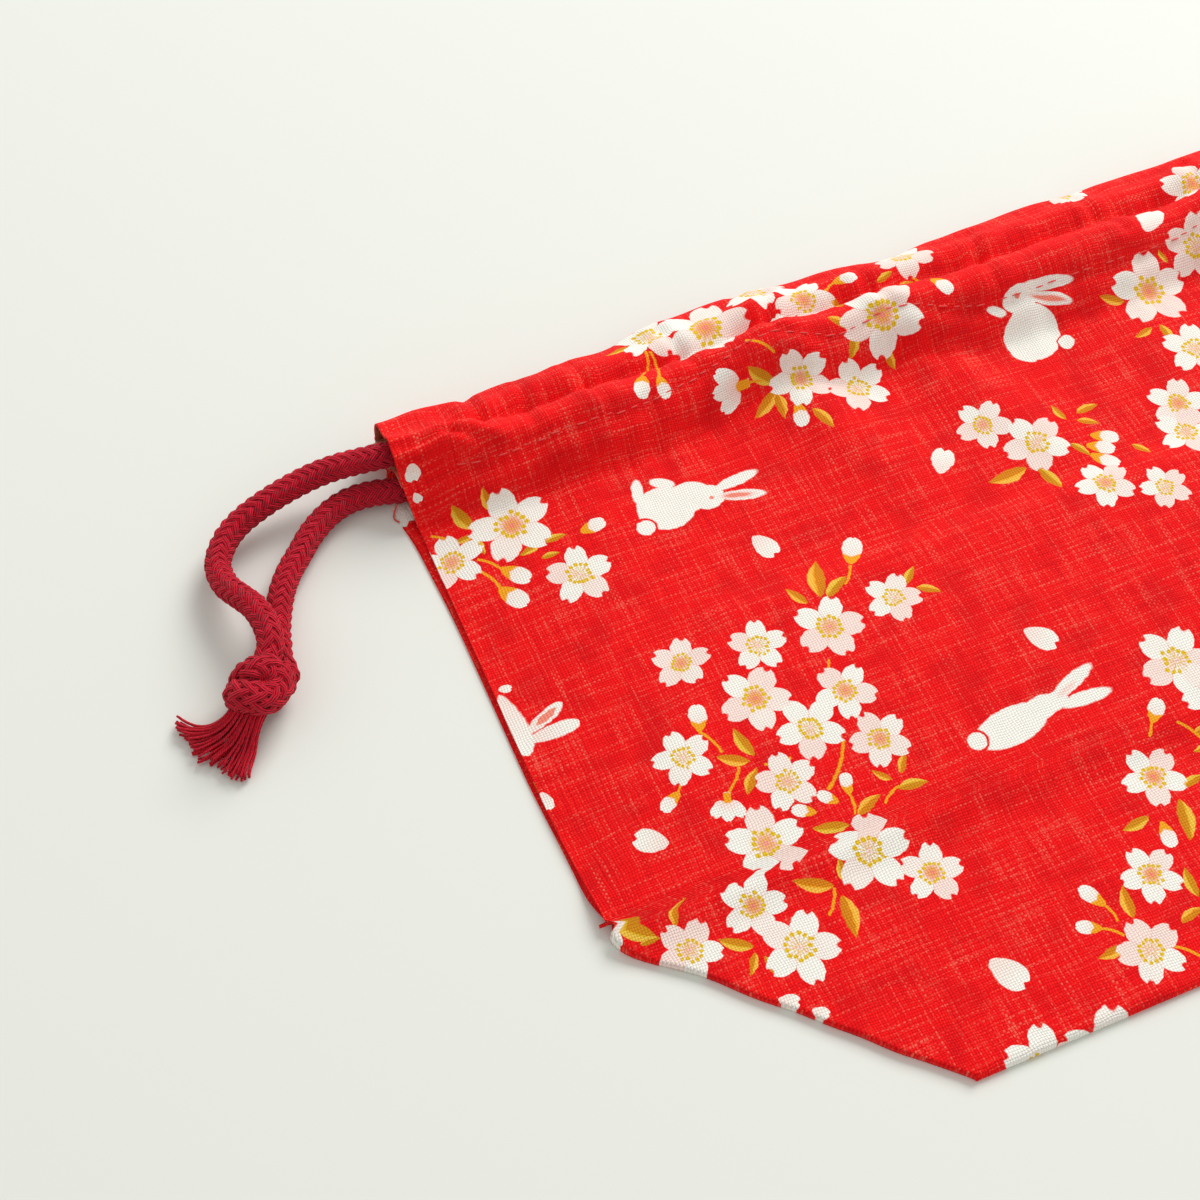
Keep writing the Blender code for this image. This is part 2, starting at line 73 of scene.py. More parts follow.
# The cord's route, repeated from the part: the free upper strand, the front run inside the casing,
# the turn at the closed end, the back run, and the free lower strand
UPPER_STRAND: tuple[Point, ...] = (
    (-0.1791, 0.0415, 0.0093), (-0.1786, 0.046, 0.0097), (-0.1794, 0.0512, 0.0093),
    (-0.1812, 0.0556, 0.0082), (-0.1832, 0.061, 0.0064), (-0.1834, 0.0672, 0.0053),
    (-0.1808, 0.0722, 0.0052), (-0.1768, 0.0755, 0.0058), (-0.1714, 0.0776, 0.0067),
    (-0.1648, 0.0791, 0.0077), (-0.158, 0.0799, 0.0086), (-0.1521, 0.0795, 0.0096),
    (-0.1463, 0.0787, 0.0101),
)  # fmt: skip
FRONT_RUN: tuple[Point, ...] = (
    (-0.14, 0.0782, 0.01), (-0.13, 0.0796, 0.0079), (-0.118, 0.0806, 0.0066), (-0.1, 0.0812, 0.007),
    (-0.074, 0.0824, 0.0063), (-0.052, 0.084, 0.0077), (-0.034, 0.0838, 0.0064),
    (-0.019, 0.0836, 0.0069), (0.0, 0.0834, 0.0061), (0.028, 0.0836, 0.0066), (0.048, 0.0838, 0.0062),
    (0.071, 0.0834, 0.0071), (0.092, 0.083, 0.0063), (0.109, 0.0826, 0.007), (0.124, 0.0824, 0.0062),
)  # fmt: skip
TURN: tuple[Point, ...] = (
    (0.129, 0.0808, 0.0056), (0.131, 0.0772, 0.0048), (0.129, 0.0735, 0.0041),
)  # fmt: skip
BACK_RUN: tuple[Point, ...] = (
    (0.124, 0.0716, 0.0038), (0.11, 0.0712, 0.0038), (0.08, 0.0712, 0.0038), (0.04, 0.0712, 0.0038),
    (0.0, 0.0712, 0.0038), (-0.04, 0.0722, 0.0038), (-0.074, 0.0712, 0.0038), (-0.1, 0.07, 0.0038),
    (-0.118, 0.0702, 0.0038), (-0.13, 0.0712, 0.0038), (-0.14, 0.0725, 0.0038),
)  # fmt: skip
LOWER_STRAND: tuple[Point, ...] = (
    (-0.1463, 0.0742, 0.0036), (-0.1521, 0.0745, 0.0034), (-0.1574, 0.0727, 0.0033),
    (-0.1624, 0.0692, 0.0032), (-0.1661, 0.0653, 0.0032), (-0.1698, 0.0614, 0.0032),
    (-0.1728, 0.0569, 0.0032), (-0.1752, 0.0517, 0.0032), (-0.1769, 0.0468, 0.0032),
    (-0.1781, 0.0421, 0.0033),
)  # fmt: skip

# The thread end that hangs out beside the casing's open end
LOOSE_THREAD: tuple[Point, ...] = (
    (-0.1392, 0.0722, 0.0024), (-0.1414, 0.0712, 0.0022), (-0.1432, 0.0698, 0.0012),
    (-0.144, 0.0682, 0.0006), (-0.1432, 0.0668, 0.0005),
)  # fmt: skip
# Where the two strands end inside the knot
UPPER_END: Point = (-0.1817, 0.0377, 0.0078)
LOWER_END: Point = (-0.1813, 0.0381, 0.0048)

# Sizes of the bag, repeated from the part, that set where its cloth lies
SIDE = 0.140
MOUTH = 0.0925
GUSSET_LEG = 0.0525
CASING_DEPTH = 0.027
SLIT_LENGTH = 0.0285
CLOTH = 0.0005
LAYER_GAP = 0.00035
SEAM_GAP = 0.0005
SEAM_INSET = 0.0012
CORNER_ROUNDING = 0.002
STEP_RUN = 0.008
SLIT_BULGE = 0.0024
HEM_STOP = 0.0185
SEAM_STRIP = 0.0045
CORD_DIAMETER = 0.006
CORD_EASE = 0.0004
CORD_POINT_SPACING = 0.0105
CASING_FULLNESS = 0.0048
CASING_END_OPENING = 0.0048
CASING_END_RUN = 0.030
TURN_ROOM = 0.0042
TURN_RUN = 0.012
CASING_FADE = 0.020
BODY_AIR = 0.0016
BLEND = 0.0006
SLOPE_STEP = 0.0004
MOUTH_GATHERS = (
    (-0.14, -0.003, 0.012), (-0.121, -0.003, 0.006), (-0.104, -0.002, 0.009), (-0.086, -0.0022, 0.008),
    (-0.014, -0.0014, 0.01), (0.06, -0.0008, 0.014), (0.112, -0.0014, 0.01),
)  # fmt: skip
STITCH_GATHERS = (
    (-0.14, 0.0046, 0.012), (-0.104, 0.0014, 0.02), (-0.072, 0.003, 0.014), (-0.052, 0.0072, 0.014),
    (-0.022, 0.0046, 0.014), (0.066, 0.002, 0.016), (0.108, 0.0038, 0.014),
)  # fmt: skip
FRONT_FOLDS = (
    (-0.098, 0.0016, 0.01, 0.3, 0.02), (-0.052, 0.0038, 0.011, -0.35, 0.018),
    (-0.02, 0.0022, 0.01, -0.5, 0.0), (0.03, 0.0016, 0.016, -0.3, 0.01),
    (0.072, 0.0026, 0.012, 0.2, 0.015), (0.11, 0.0022, 0.011, 0.35, 0.02),
)  # fmt: skip

# Offsets that the photograph's outline shows and the part leaves out.
# The mouth's waves, and how far its fold lies further out and stands up
MOUTH_WAVES = (
    (-0.058, 0.001, 0.018), (-0.008, -0.0006, 0.01), (0.022, 0.0005, 0.01), (0.062, 0.0014, 0.022),
)  # fmt: skip
MOUTH_RISE = 0.0016
MOUTH_LIFT = 0.0024
# Creases across the casing: both ends, depth and half width
CASING_CREASES = (
    (-0.14, 0.075, -0.1272, 0.0745, 0.0013, 0.0016), (-0.1272, 0.0745, -0.1198, 0.069, 0.0011, 0.0016),
    (-0.1205, 0.089, -0.119, 0.074, 0.0014, 0.0019), (-0.1075, 0.088, -0.1095, 0.072, 0.0008, 0.0016),
    (-0.096, 0.089, -0.093, 0.07, 0.0009, 0.0018), (-0.072, 0.089, -0.07, 0.074, 0.0009, 0.0018),
    (-0.045, 0.09, -0.05, 0.076, 0.001, 0.002), (-0.023, 0.089, -0.022, 0.073, 0.0009, 0.0018),
    (0.008, 0.089, 0.004, 0.07, 0.0008, 0.0018), (0.037, 0.09, 0.04, 0.072, 0.0009, 0.002),
    (0.068, 0.089, 0.066, 0.071, 0.0009, 0.002), (0.106, 0.089, 0.109, 0.073, 0.001, 0.002),
)  # fmt: skip
# How far the edges at the open end lie out or in, and how far the hem's end stands up
SLIT_EDGE_OUT = 0.0010
HEM_END_OUT = 0.0042
HEM_END_LIFT = 0.0036
FRONT_EDGE_OUT = 0.0012
CASING_EDGE_OUT = 0.0010
BACK_HEM_IN = 0.0024

# Worked out from those sizes
BASE_SEAM = -MOUTH + GUSSET_LEG
BASE_TOP = BASE_SEAM + GUSSET_LEG
SLIT_END = MOUTH - SLIT_LENGTH
PITCH = CLOTH + LAYER_GAP
FLOOR_LEVEL = CLOTH / 2
WRAP_RADIUS = CORD_DIAMETER / 2 + CORD_EASE + CLOTH / 2
FRONT_SIDE = SIDE - SEAM_INSET

# The photograph's frame, in which the marks below were read
PHOTO_WIDTH = 1200
# A blossom's marked width in millimetres over its size: half of it in metres, and 7 % for the tips
WIDTH_OVER_SIZE = 1870


class Motif(Enum):
    """What is printed on the cloth."""

    EAR = -2
    LIMB = -1
    PETAL = 0
    BUD = 1
    LEAF = 2
    STEM = 3
    SIDE_BLOSSOM = 4
    BLOSSOM = 5
    LEAPING_RABBIT = 6
    SITTING_RABBIT = 7
    RESTING_RABBIT = 8


# Each blossom's middle in the photograph's pixels, its width in millimetres and how pink its heart is
BLOSSOM_MARKS: tuple[tuple[float, float, float, float], ...] = (
    (648, 338, 15.4, 0.1), (705, 328, 20.0, 1.0), (753, 293, 15.2, 0.1), (803, 300, 14.6, 0.9),
    (901, 258, 14.4, 0.2), (882, 315, 19.6, 1.0), (800, 379, 14.3, 0.9), (858, 388, 14.3, 0.0),
    (512, 526, 18.0, 1.0), (452, 563, 13.2, 0.8), (580, 575, 14.0, 0.0), (758, 646, 12.0, 0.1),
    (681, 664, 12.0, 0.9), (829, 627, 14.6, 0.7), (893, 598, 11.8, 0.0), (755, 699, 14.7, 1.0),
    (845, 691, 12.7, 0.9), (810, 728, 13.8, 0.1), (880, 739, 12.2, 0.9), (683, 758, 12.1, 0.1),
    (787, 782, 12.4, 0.4), (766, 844, 15.4, 0.8), (869, 852, 16.2, 0.0), (932, 873, 12.2, 1.0),
    (753, 906, 12.8, 1.0), (800, 948, 15.0, 0.1), (690, 951, 12.3, 0.3), (983, 425, 12.4, 0.7),
    (1036, 443, 14.6, 0.1), (1105, 483, 12.7, 0.8), (1165, 487, 11.0, 0.1), (1192, 184, 15.0, 1.0),
    (1148, 292, 19.0, 1.0), (1196, 246, 15.6, 0.2), (1194, 349, 14.4, 0.2), (1178, 404, 13.6, 0.9),
    (1186, 433, 13.5, 0.3), (1176, 661, 15.9, 0.1), (1214, 690, 14.5, 0.8), (1153, 777, 13.0, 1.0),
    (1151, 875, 12.0, 1.0), (1151, 951, 13.0, 0.1), (1062, 198, 12.0, 0.6),
)  # fmt: skip
# The other motifs, each from its base to its tip in the photograph's pixels
LINE_MARKS: dict[Motif, tuple[tuple[float, float, float, float], ...]] = {
    Motif.EAR: ((525, 736, 562, 703),),
    Motif.LIMB: ((525, 743, 580, 722), (499, 696, 529, 756), (603, 919, 622, 945)),
    Motif.PETAL: (
        (753, 537, 777, 556), (939, 474, 945, 449), (1024, 631, 1058, 645), (669, 845, 633, 839),
        (989, 961, 1028, 986), (411, 463, 414, 482), (414, 493, 420, 502), (391, 491, 413, 525),
        (541, 793, 549, 812), (498, 690, 512, 689), (1144, 231, 1153, 212),
        (785, 331, 774, 316), (779, 1000, 801, 1003), (812, 1011, 830, 1015),
    ),
    Motif.BUD: (
        (581, 533, 605, 521), (501, 569, 531, 580), (499, 589, 528, 605), (700, 733, 696, 705),
        (679, 793, 662, 812), (849, 795, 844, 773), (839, 803, 817, 794), (816, 813, 791, 810),
        (642, 377, 641, 399), (658, 377, 667, 399), (797, 403, 804, 427),
        (833, 284, 856, 276), (931, 278, 951, 294), (1151, 723, 1159, 699), (1161, 822, 1173, 848),
        (1105, 906, 1079, 888), (1102, 929, 1075, 927), (1090, 436, 1119, 438),
        (1086, 446, 1115, 449), (1090, 455, 1120, 464), (851, 565, 853, 538), (769, 999, 786, 1008),
    ),
    Motif.SIDE_BLOSSOM: ((727, 797, 729, 823), (744, 384, 712, 396)),
    Motif.LEAF: (
        (475, 530, 452, 505), (493, 512, 482, 487), (473, 536, 453, 544), (473, 540, 485, 555),
        (545, 543, 566, 535), (542, 559, 560, 553), (808, 604, 786, 590), (821, 598, 816, 562),
        (827, 598, 846, 577), (916, 588, 941, 592), (906, 585, 914, 567), (754, 756, 733, 729),
        (750, 762, 716, 757), (747, 795, 757, 768), (849, 825, 812, 829), (858, 816, 880, 795),
        (892, 780, 872, 771), (898, 789, 928, 782), (901, 774, 905, 753), (847, 884, 839, 857),
        (834, 886, 793, 881), (842, 896, 856, 938), (656, 937, 618, 921), (676, 927, 683, 898),
        (640, 945, 660, 938), (754, 947, 718, 940), (755, 953, 750, 976), (764, 957, 779, 978),
        (621, 341, 606, 357), (775, 383, 747, 366), (776, 390, 755, 419), (776, 394, 785, 419),
        (812, 409, 834, 428), (827, 318, 850, 330), (847, 319, 834, 297), (896, 290, 913, 282),
        (855, 332, 849, 359), (884, 348, 895, 370), (1148, 817, 1122, 831), (1179, 800, 1190, 841),
        (1184, 788, 1202, 775), (1134, 919, 1122, 886), (1124, 946, 1098, 959), (1198, 897, 1184, 868),
        (1181, 923, 1202, 908), (1124, 302, 1099, 296), (1167, 263, 1158, 250), (1151, 328, 1135, 338),
        (1159, 325, 1174, 344), (1066, 420, 1051, 406), (1076, 414, 1097, 405), (1076, 421, 1099, 424),
        (1070, 444, 1090, 456), (1131, 445, 1151, 453), (1026, 468, 989, 483), (1038, 469, 1062, 488),
        (876, 282, 892, 272), (540, 543, 520, 556), (528, 774, 539, 792),
    ),
    Motif.STEM: (
        (477, 560, 503, 571), (480, 572, 502, 591), (431, 537, 457, 545), (700, 733, 722, 753),
        (739, 767, 727, 795), (678, 794, 685, 780), (791, 758, 764, 765), (849, 794, 855, 815),
        (816, 813, 850, 816), (885, 804, 899, 786), (843, 740, 828, 790), (829, 660, 822, 679),
        (834, 888, 829, 916), (646, 352, 642, 377), (650, 352, 659, 377), (745, 341, 774, 352),
        (824, 294, 834, 283), (912, 278, 932, 279), (1151, 723, 1149, 737), (1105, 906, 1118, 922),
        (1102, 929, 1124, 936), (1174, 947, 1200, 957), (1066, 420, 1069, 437), (1069, 442, 1090, 440),
        (570, 563, 557, 572), (744, 384, 762, 381), (1176, 722, 1202, 740), (850, 566, 845, 585),
    ),
    Motif.LEAPING_RABBIT: ((634, 513, 765, 487),),
    Motif.SITTING_RABBIT: ((1034, 364, 1058, 268),),
    Motif.RESTING_RABBIT: ((966, 741, 1106, 687),),
}  # fmt: skip
# How the flat cloth's design repeats, in metres, to fill what the photograph doesn't show
REPEATS: tuple[tuple[float, float], ...] = (
    (0.0, 0.0), (0.104, -0.095), (0.203, 0.0), (0.110, 0.060), (-0.098, 0.100), (0.0, -0.190),
    (0.203, -0.190), (0.0, 0.190), (-0.203, 0.190), (-0.203, 0.0), (0.104, -0.200), (-0.099, -0.095),
)  # fmt: skip


def smooth_step(t: float) -> float:
    """Returns 0 below 0, 1 above 1, and an S-curve between."""
    t = min(max(t, 0.0), 1.0)
    return t * t * (3 - 2 * t)


def smooth_route(points: Sequence[Point], spacing: float) -> list[Vector]:
    """Lays a smooth curve through points.

    Args:
        points: The places that the curve passes.
        spacing: The distance wanted between neighbours on the curve, in metres.

    Returns:
        Points at an even spacing from the first place to the last.
    """
    stops = [Vector(point) for point in points]
    stops = [2 * stops[0] - stops[1], *stops, 2 * stops[-1] - stops[-2]]
    fine: list[Vector] = []
    for p0, p1, p2, p3 in zip(stops, stops[1:], stops[2:], stops[3:]):
        for step in range(12):
            t = step / 12
            bend = (2 * p0 - 5 * p1 + 4 * p2 - p3) * t**2
            fine.append(0.5 * (2 * p1 + (p2 - p0) * t + bend + (3 * p1 - p0 - 3 * p2 + p3) * t**3))
    fine.append(stops[-2])
    lengths = [0.0]
    for a, b in zip(fine, fine[1:]):
        lengths.append(lengths[-1] + (b - a).length)
    count = max(round(lengths[-1] / spacing), 2)
    route: list[Vector] = []
    at = 0
    for i in range(count + 1):
        want = lengths[-1] * i / count
        while at < len(fine) - 2 and lengths[at + 1] < want:
            at += 1
        share = (want - lengths[at]) / (lengths[at + 1] - lengths[at])
        route.append(fine[at].lerp(fine[at + 1], min(share, 1.0)))
    return route


def route_length(route: Sequence[Vector]) -> float:
    """Returns the length of a route, in metres."""
    return sum((b - a).length for a, b in zip(route, route[1:]))


def grid_on(
    bm: bmesh.types.BMesh, columns: int, rows: int, place: Callable[[int, int], Vector | Point]
) -> dict[tuple[int, int], bmesh.types.BMVert]:
    """Lays a grid on a surface that a rule gives.

    Args:
        bm: The mesh that gets the grid.
        columns: How many faces it has across.
        rows: How many faces it has along.
        place: Where the vertex of a column and a row goes.

    Returns:
        The vertices by column and row.
    """
    made = bmesh.ops.create_grid(bm, x_segments=columns, y_segments=rows, size=0.5)["verts"]
    grid = {}
    for vert in made:
        key = (round((vert.co.x + 0.5) * columns), round((vert.co.y + 0.5) * rows))
        grid[key] = vert
        vert.co = place(*key)
    return grid


def object_from(bm: bmesh.types.BMesh, name: str, finishes: Sequence[bpy.types.Material]) -> bpy.types.Object:
    """Links a finished mesh as a smooth-shaded object at the origin.

    Args:
        bm: The mesh, which is freed.
        name: The object's name.
        finishes: Its materials, in the order of the faces' indices.

    Returns:
        The new object.
    """
    mesh = bpy.data.meshes.new(name)
    bm.to_mesh(mesh)
    bm.free()
    for finish in finishes:
        mesh.materials.append(finish)
    mesh.shade_smooth()
    LOG.info("%s: %d faces", name, len(mesh.polygons))
    piece = bpy.data.objects.new(name, mesh)
    bpy.context.collection.objects.link(piece)
    return piece


def bumps(x: float, places: Sequence[Point]) -> float:
    """Adds up soft bumps.

    Args:
        x: Where they are read.
        places: The place, height and half width of each.

    Returns:
        Their sum at x.
    """
    return sum(height * math.exp(-(((x - place) / width) ** 2)) for place, height, width in places)


@dataclass(frozen=True)
class Signal:
    """One output in a node tree, which can be used in a formula."""

    graph: Graph
    socket: bpy.types.NodeSocket

    def __add__(self, other: Value) -> Signal:
        """Returns the sum."""
        return self.graph.math("ADD", self, other)

    def __radd__(self, other: Value) -> Signal:
        """Returns the sum where the signal comes second."""
        return self.graph.math("ADD", other, self)

    def __sub__(self, other: Value) -> Signal:
        """Returns the difference."""
        return self.graph.math("SUBTRACT", self, other)

    def __rsub__(self, other: Value) -> Signal:
        """Returns the difference where the signal comes second."""
        return self.graph.math("SUBTRACT", other, self)

    def __mul__(self, other: Value) -> Signal:
        """Returns the product."""
        return self.graph.math("MULTIPLY", self, other)

    def __rmul__(self, other: Value) -> Signal:
        """Returns the product where the signal comes second."""
        return self.graph.math("MULTIPLY", other, self)

    def __truediv__(self, other: Value) -> Signal:
        """Returns the quotient."""
        return self.graph.math("DIVIDE", self, other)

    def __abs__(self) -> Signal:
        """Returns the size without the sign."""
        return self.graph.math("ABSOLUTE", self)


class Graph:
    """Writes a node tree as formulas."""

    def __init__(self, tree: bpy.types.NodeTree) -> None:
        """Starts writing in a node tree."""
        self.tree = tree

    @classmethod
    def group(
        cls, name: str, inputs: dict[str, str], outputs: dict[str, str]
    ) -> tuple[Graph, dict[str, Signal]]:
        """Makes a node group with named sockets.

        Args:
            name: The group's name.
            inputs: The socket type of each input by its name.
            outputs: The socket type of each output by its name.

        Returns:
            The group's graph and its inputs as signals.
        """
        tree = bpy.data.node_groups.new(name, "ShaderNodeTree")
        for label, kind in inputs.items():
            tree.interface.new_socket(label, in_out="INPUT", socket_type=kind)
        for label, kind in outputs.items():
            tree.interface.new_socket(label, in_out="OUTPUT", socket_type=kind)
        graph = cls(tree)
        given = tree.nodes.new("NodeGroupInput")
        return graph, {label: Signal(graph, given.outputs[label]) for label in inputs}

    def node(
        self, kind: str, inputs: dict[str | int, Value] | None = None, **settings: object
    ) -> bpy.types.Node:
        """Adds a node.

        Args:
            kind: Its type name.
            inputs: What its sockets get, by name or index.
            **settings: Its own properties.

        Returns:
            The node.
        """
        node = self.tree.nodes.new(kind)
        for name, value in settings.items():
            setattr(node, name, value)
        for key, value in (inputs or {}).items():
            if isinstance(value, Signal):
                self.tree.links.new(value.socket, node.inputs[key])
            else:
                node.inputs[key].default_value = value
        return node

    def read(self, node: bpy.types.Node, output: str | int = 0) -> Signal:
        """Returns a node's output as a signal."""
        return Signal(self, node.outputs[output])

    def math(self, operation: str, *values: Value) -> Signal:
        """Returns the result of one Math node."""
        return self.read(self.node("ShaderNodeMath", dict(enumerate(values)), operation=operation))

    def least(self, *values: Value) -> Signal:
        """Returns the least of several values."""
        return reduce(lambda a, b: self.math("MINIMUM", a, b), values)

    def most(self, *values: Value) -> Signal:
        """Returns the greatest of several values."""
        return reduce(lambda a, b: self.math("MAXIMUM", a, b), values)

    def hypot(self, x: Value, y: Value) -> Signal:
        """Returns the length of a vector from its two parts."""
        return self.math("SQRT", self.math("MULTIPLY", x, x) + self.math("MULTIPLY", y, y))

    def step(self, low: float, high: float, value: Value) -> Signal:
        """Returns a smooth step from 0 at low to 1 at high."""
        ends = {"Value": value, "From Min": low, "From Max": high}
        return self.read(self.node("ShaderNodeMapRange", ends, interpolation_type="SMOOTHSTEP"))

    def mix(self, share: Value, a: Value, b: Value) -> Signal:
        """Returns a mix of two values: a where share is 0 and b where it is 1."""
        return self.math("MULTIPLY_ADD", self.math("SUBTRACT", b, a), share, a)

    def blend(self, share: Value, a: Value, b: Value, way: str = "MIX") -> Signal:
        """Returns a blend of two colours."""
        sockets = {"Factor": share, MIX_COLOUR_A: a, MIX_COLOUR_B: b}
        node = self.node("ShaderNodeMix", sockets, data_type="RGBA", blend_type=way)
        return self.read(node, MIX_COLOUR_OUT)

    def parts(self, vector: Signal) -> tuple[Signal, Signal, Signal]:
        """Returns a vector's three parts."""
        split = self.node("ShaderNodeSeparateXYZ", {0: vector})
        return self.read(split, 0), self.read(split, 1), self.read(split, 2)

    def vector(self, x: Value, y: Value, z: Value = 0.0) -> Signal:
        """Returns a vector from its three parts."""
        return self.read(self.node("ShaderNodeCombineXYZ", {0: x, 1: y, 2: z}))

    def noise(self, place: Signal, detail: float = 0.0) -> Signal:
        """Returns smooth noise about 0.5 with features one unit wide."""
        sockets = {"Vector": place, "Scale": 1.0, "Detail": detail}
        return self.read(self.node("ShaderNodeTexNoise", sockets), 0)

    def random(self, x: Value, y: Value) -> Signal:
        """Returns a random value that depends on two values."""
        place = self.vector(x, y)
        return self.read(self.node("ShaderNodeTexWhiteNoise", {"Vector": place}, noise_dimensions="2D"), 0)

    def pick(self, kind: Signal, values: Sequence[float]) -> Signal | float:
        """Returns the value that belongs to a kind, counted from 0."""
        total: Signal | float = values[0]
        for index, (before, value) in enumerate(zip(values, values[1:])):
            if value != before:
                total = self.math("GREATER_THAN", kind, index + 0.5) * (value - before) + total
        return total

    def use(self, tree: bpy.types.NodeTree, inputs: dict[str, Value]) -> bpy.types.Node:
        """Places a group in this tree and feeds it."""
        return self.node("ShaderNodeGroup", inputs, node_tree=tree)

    def give(self, outputs: dict[str, Signal]) -> bpy.types.NodeTree:
        """Ends a group by linking its outputs.

        Args:
            outputs: The signal of each output by its name.

        Returns:
            The group.
        """
        end = self.tree.nodes.new("NodeGroupOutput")
        for name, signal in outputs.items():
            self.tree.links.new(signal.socket, end.inputs[name])
        return self.tree


Value = Signal | float | tuple[float, ...]


def from_srgb(red: int, green: int, blue: int) -> Ink:
    """Returns the linear colour of an sRGB one given as 0 to 255."""

    def linear(level: int) -> float:
        """Returns the linear share of an sRGB level."""
        share = level / 255
        return share / 12.92 if share <= 0.04045 else ((share + 0.055) / 1.055) ** 2.4

    return linear(red), linear(green), linear(blue), 1.0


class Lay:
    """Where the cloth lies: the part's rules for its levels, with the finer waves of real cotton."""

    def __init__(self) -> None:
        """Lays the cord's runs and keeps what is read from them."""
        self.front_path = smooth_route([UPPER_STRAND[-1], *FRONT_RUN], CORD_POINT_SPACING)
        self.back_path = smooth_route([*BACK_RUN, LOWER_STRAND[0]], CORD_POINT_SPACING)[::-1]
        self.mouth_line = cache(self.mouth_line)
        self.stitch_line = cache(self.stitch_line)
        self.front_cord = cache(lambda x: self.along(self.front_path, x))
        self.back_cord = cache(lambda x: self.along(self.back_path, x))

    @staticmethod
    def along(run: Sequence[Vector], x: float) -> tuple[float, float]:
        """Returns Y and Z at x of a cord run whose points go from -X to +X."""
        x = min(max(x, run[0].x), run[-1].x)
        for start, end in zip(run, run[1:]):
            if x <= end.x:
                place = start.lerp(end, (x - start.x) / (end.x - start.x))
                return place.y, place.z
        return run[-1].y, run[-1].z

    def mouth_line(self, x: float) -> float:
        """Returns Y of the top fold's inner side."""
        ends = smooth_step((x + 0.105) / 0.030) * smooth_step((SIDE - 0.003 - x) / 0.045)
        waves = (MOUTH_RISE + bumps(x, MOUTH_WAVES)) * ends
        return MOUTH - PITCH / 2 - CLOTH / 2 + bumps(x, MOUTH_GATHERS) + waves

    def stitch_line(self, x: float) -> float:
        """Returns Y of the hem's free edge, on which the stitches lie."""
        return MOUTH - CASING_DEPTH + bumps(x, STITCH_GATHERS)

    def air(self, x: float, y: float) -> float:
        """Returns the room between the back and the front: the bag's fullness and its soft folds."""
        top = self.stitch_line(x)
        edge = smooth_step((SIDE - abs(x)) / 0.030)
        down = smooth_step((MOUTH - y) / (MOUTH - top + 0.020)) * smooth_step((y - BASE_SEAM) / 0.030)
        height = BODY_AIR * edge * down
        for place, lift, width, slant, foot in FRONT_FOLDS:
            middle = place + slant * (y - top) if y < top else place
            fade = smooth_step((y - foot) / (top - foot)) * smooth_step((MOUTH - y) / CASING_FADE)
            height += lift * fade * math.exp(-(((x - middle) / width) ** 2))
        return height

    @staticmethod
    def smooth_max(a: float, b: float) -> float:
        """Returns the greater of two heights, with the crease between them rounded."""
        return (a + b + math.hypot(a - b, BLEND)) / 2

    @staticmethod
    def smooth_min(a: float, b: float) -> float:
        """Returns the lesser of two widths, with the corner between them rounded."""
        return (a + b) / 2 - math.hypot((a - b) / 2, CORNER_ROUNDING)

    @staticmethod
    def lifted(level: Callable[[float], float], y: float) -> float:
        """Returns a level raised by one layer, measured square to its slope along Y."""
        slope = (level(y + SLOPE_STEP) - level(y - SLOPE_STEP)) / (2 * SLOPE_STEP)
        return level(y) + PITCH * math.hypot(1, slope)

    @staticmethod
    def over_cord(cord: tuple[float, float], y: float) -> float:
        """Returns the height of cloth over a cord whose Y and Z are given."""
        return cord[1] + WRAP_RADIUS - (y - cord[0]) ** 2 / (2 * WRAP_RADIUS)

    def back_level(self, x: float, y: float) -> float:
        """Returns the back sheet's height: over the folded base it lies two layers up."""
        outside = max(y - BASE_TOP, (abs(x) + y - (SIDE + BASE_SEAM)) / math.sqrt(2))
        return FLOOR_LEVEL + 2 * PITCH * (1 - smooth_step((outside - PITCH) / STEP_RUN))

    def oval(self, x: float, y: float) -> float:
        """Returns the share of the casing's open height at y."""
        low, high = self.stitch_line(x), self.mouth_line(x)
        turn = math.acos(2 * min(max((y - low) / (high - low), 0.0), 1.0) - 1)
        return math.sin(turn) * math.cos(turn / 2) / 0.77

    def back_hem_level(self, x: float, y: float) -> float:
        """Returns the height of the back casing's upper layer."""
        return self.smooth_max(FLOOR_LEVEL + PITCH, self.over_cord(self.back_cord(x), y))

    def front_hem_level(self, x: float, y: float) -> float:
        """Returns the height of the front casing's lower layer."""
        return self.lifted(lambda place: self.back_hem_level(x, place), y) + self.air(x, y)

    def casing_room(self, x: float, y: float) -> float:
        """Returns the room in the front casing: more at its open end and over the cord's turn."""
        opening = CASING_END_OPENING * (1 - smooth_step((x + SIDE) / CASING_END_RUN))
        turn = TURN_ROOM * smooth_step((x - (SIDE - HEM_STOP - TURN_RUN)) / TURN_RUN)
        closed = smooth_step((FRONT_SIDE - x) / SEAM_STRIP)
        return (opening + (CASING_FULLNESS + turn) * closed) * self.oval(x, y)

    def front_level(self, x: float, y: float) -> float:
        """Returns the front sheet's height, from the top fold to the line over the base seam."""
        low = self.stitch_line(x)
        if y >= low:
            over_hem = self.lifted(lambda place: self.front_hem_level(x, place), y)
            wrapped = self.smooth_max(over_hem, self.over_cord(self.front_cord(x), y))
            return self.smooth_max(wrapped, over_hem + self.casing_room(x, y))
        hem_step = self.front_level(x, low) - (self.back_level(x, low) + PITCH + self.air(x, low))
        fade = 1 - smooth_step((low - y) / STEP_RUN)
        return self.back_level(x, y) + PITCH + self.air(x, y) + hem_step * fade

    @staticmethod
    def lower_front_level(y: float) -> float:
        """Returns the front's height below the base seam."""
        return FLOOR_LEVEL + PITCH + 2 * PITCH * smooth_step((y - (BASE_SEAM - STEP_RUN - PITCH)) / STEP_RUN)

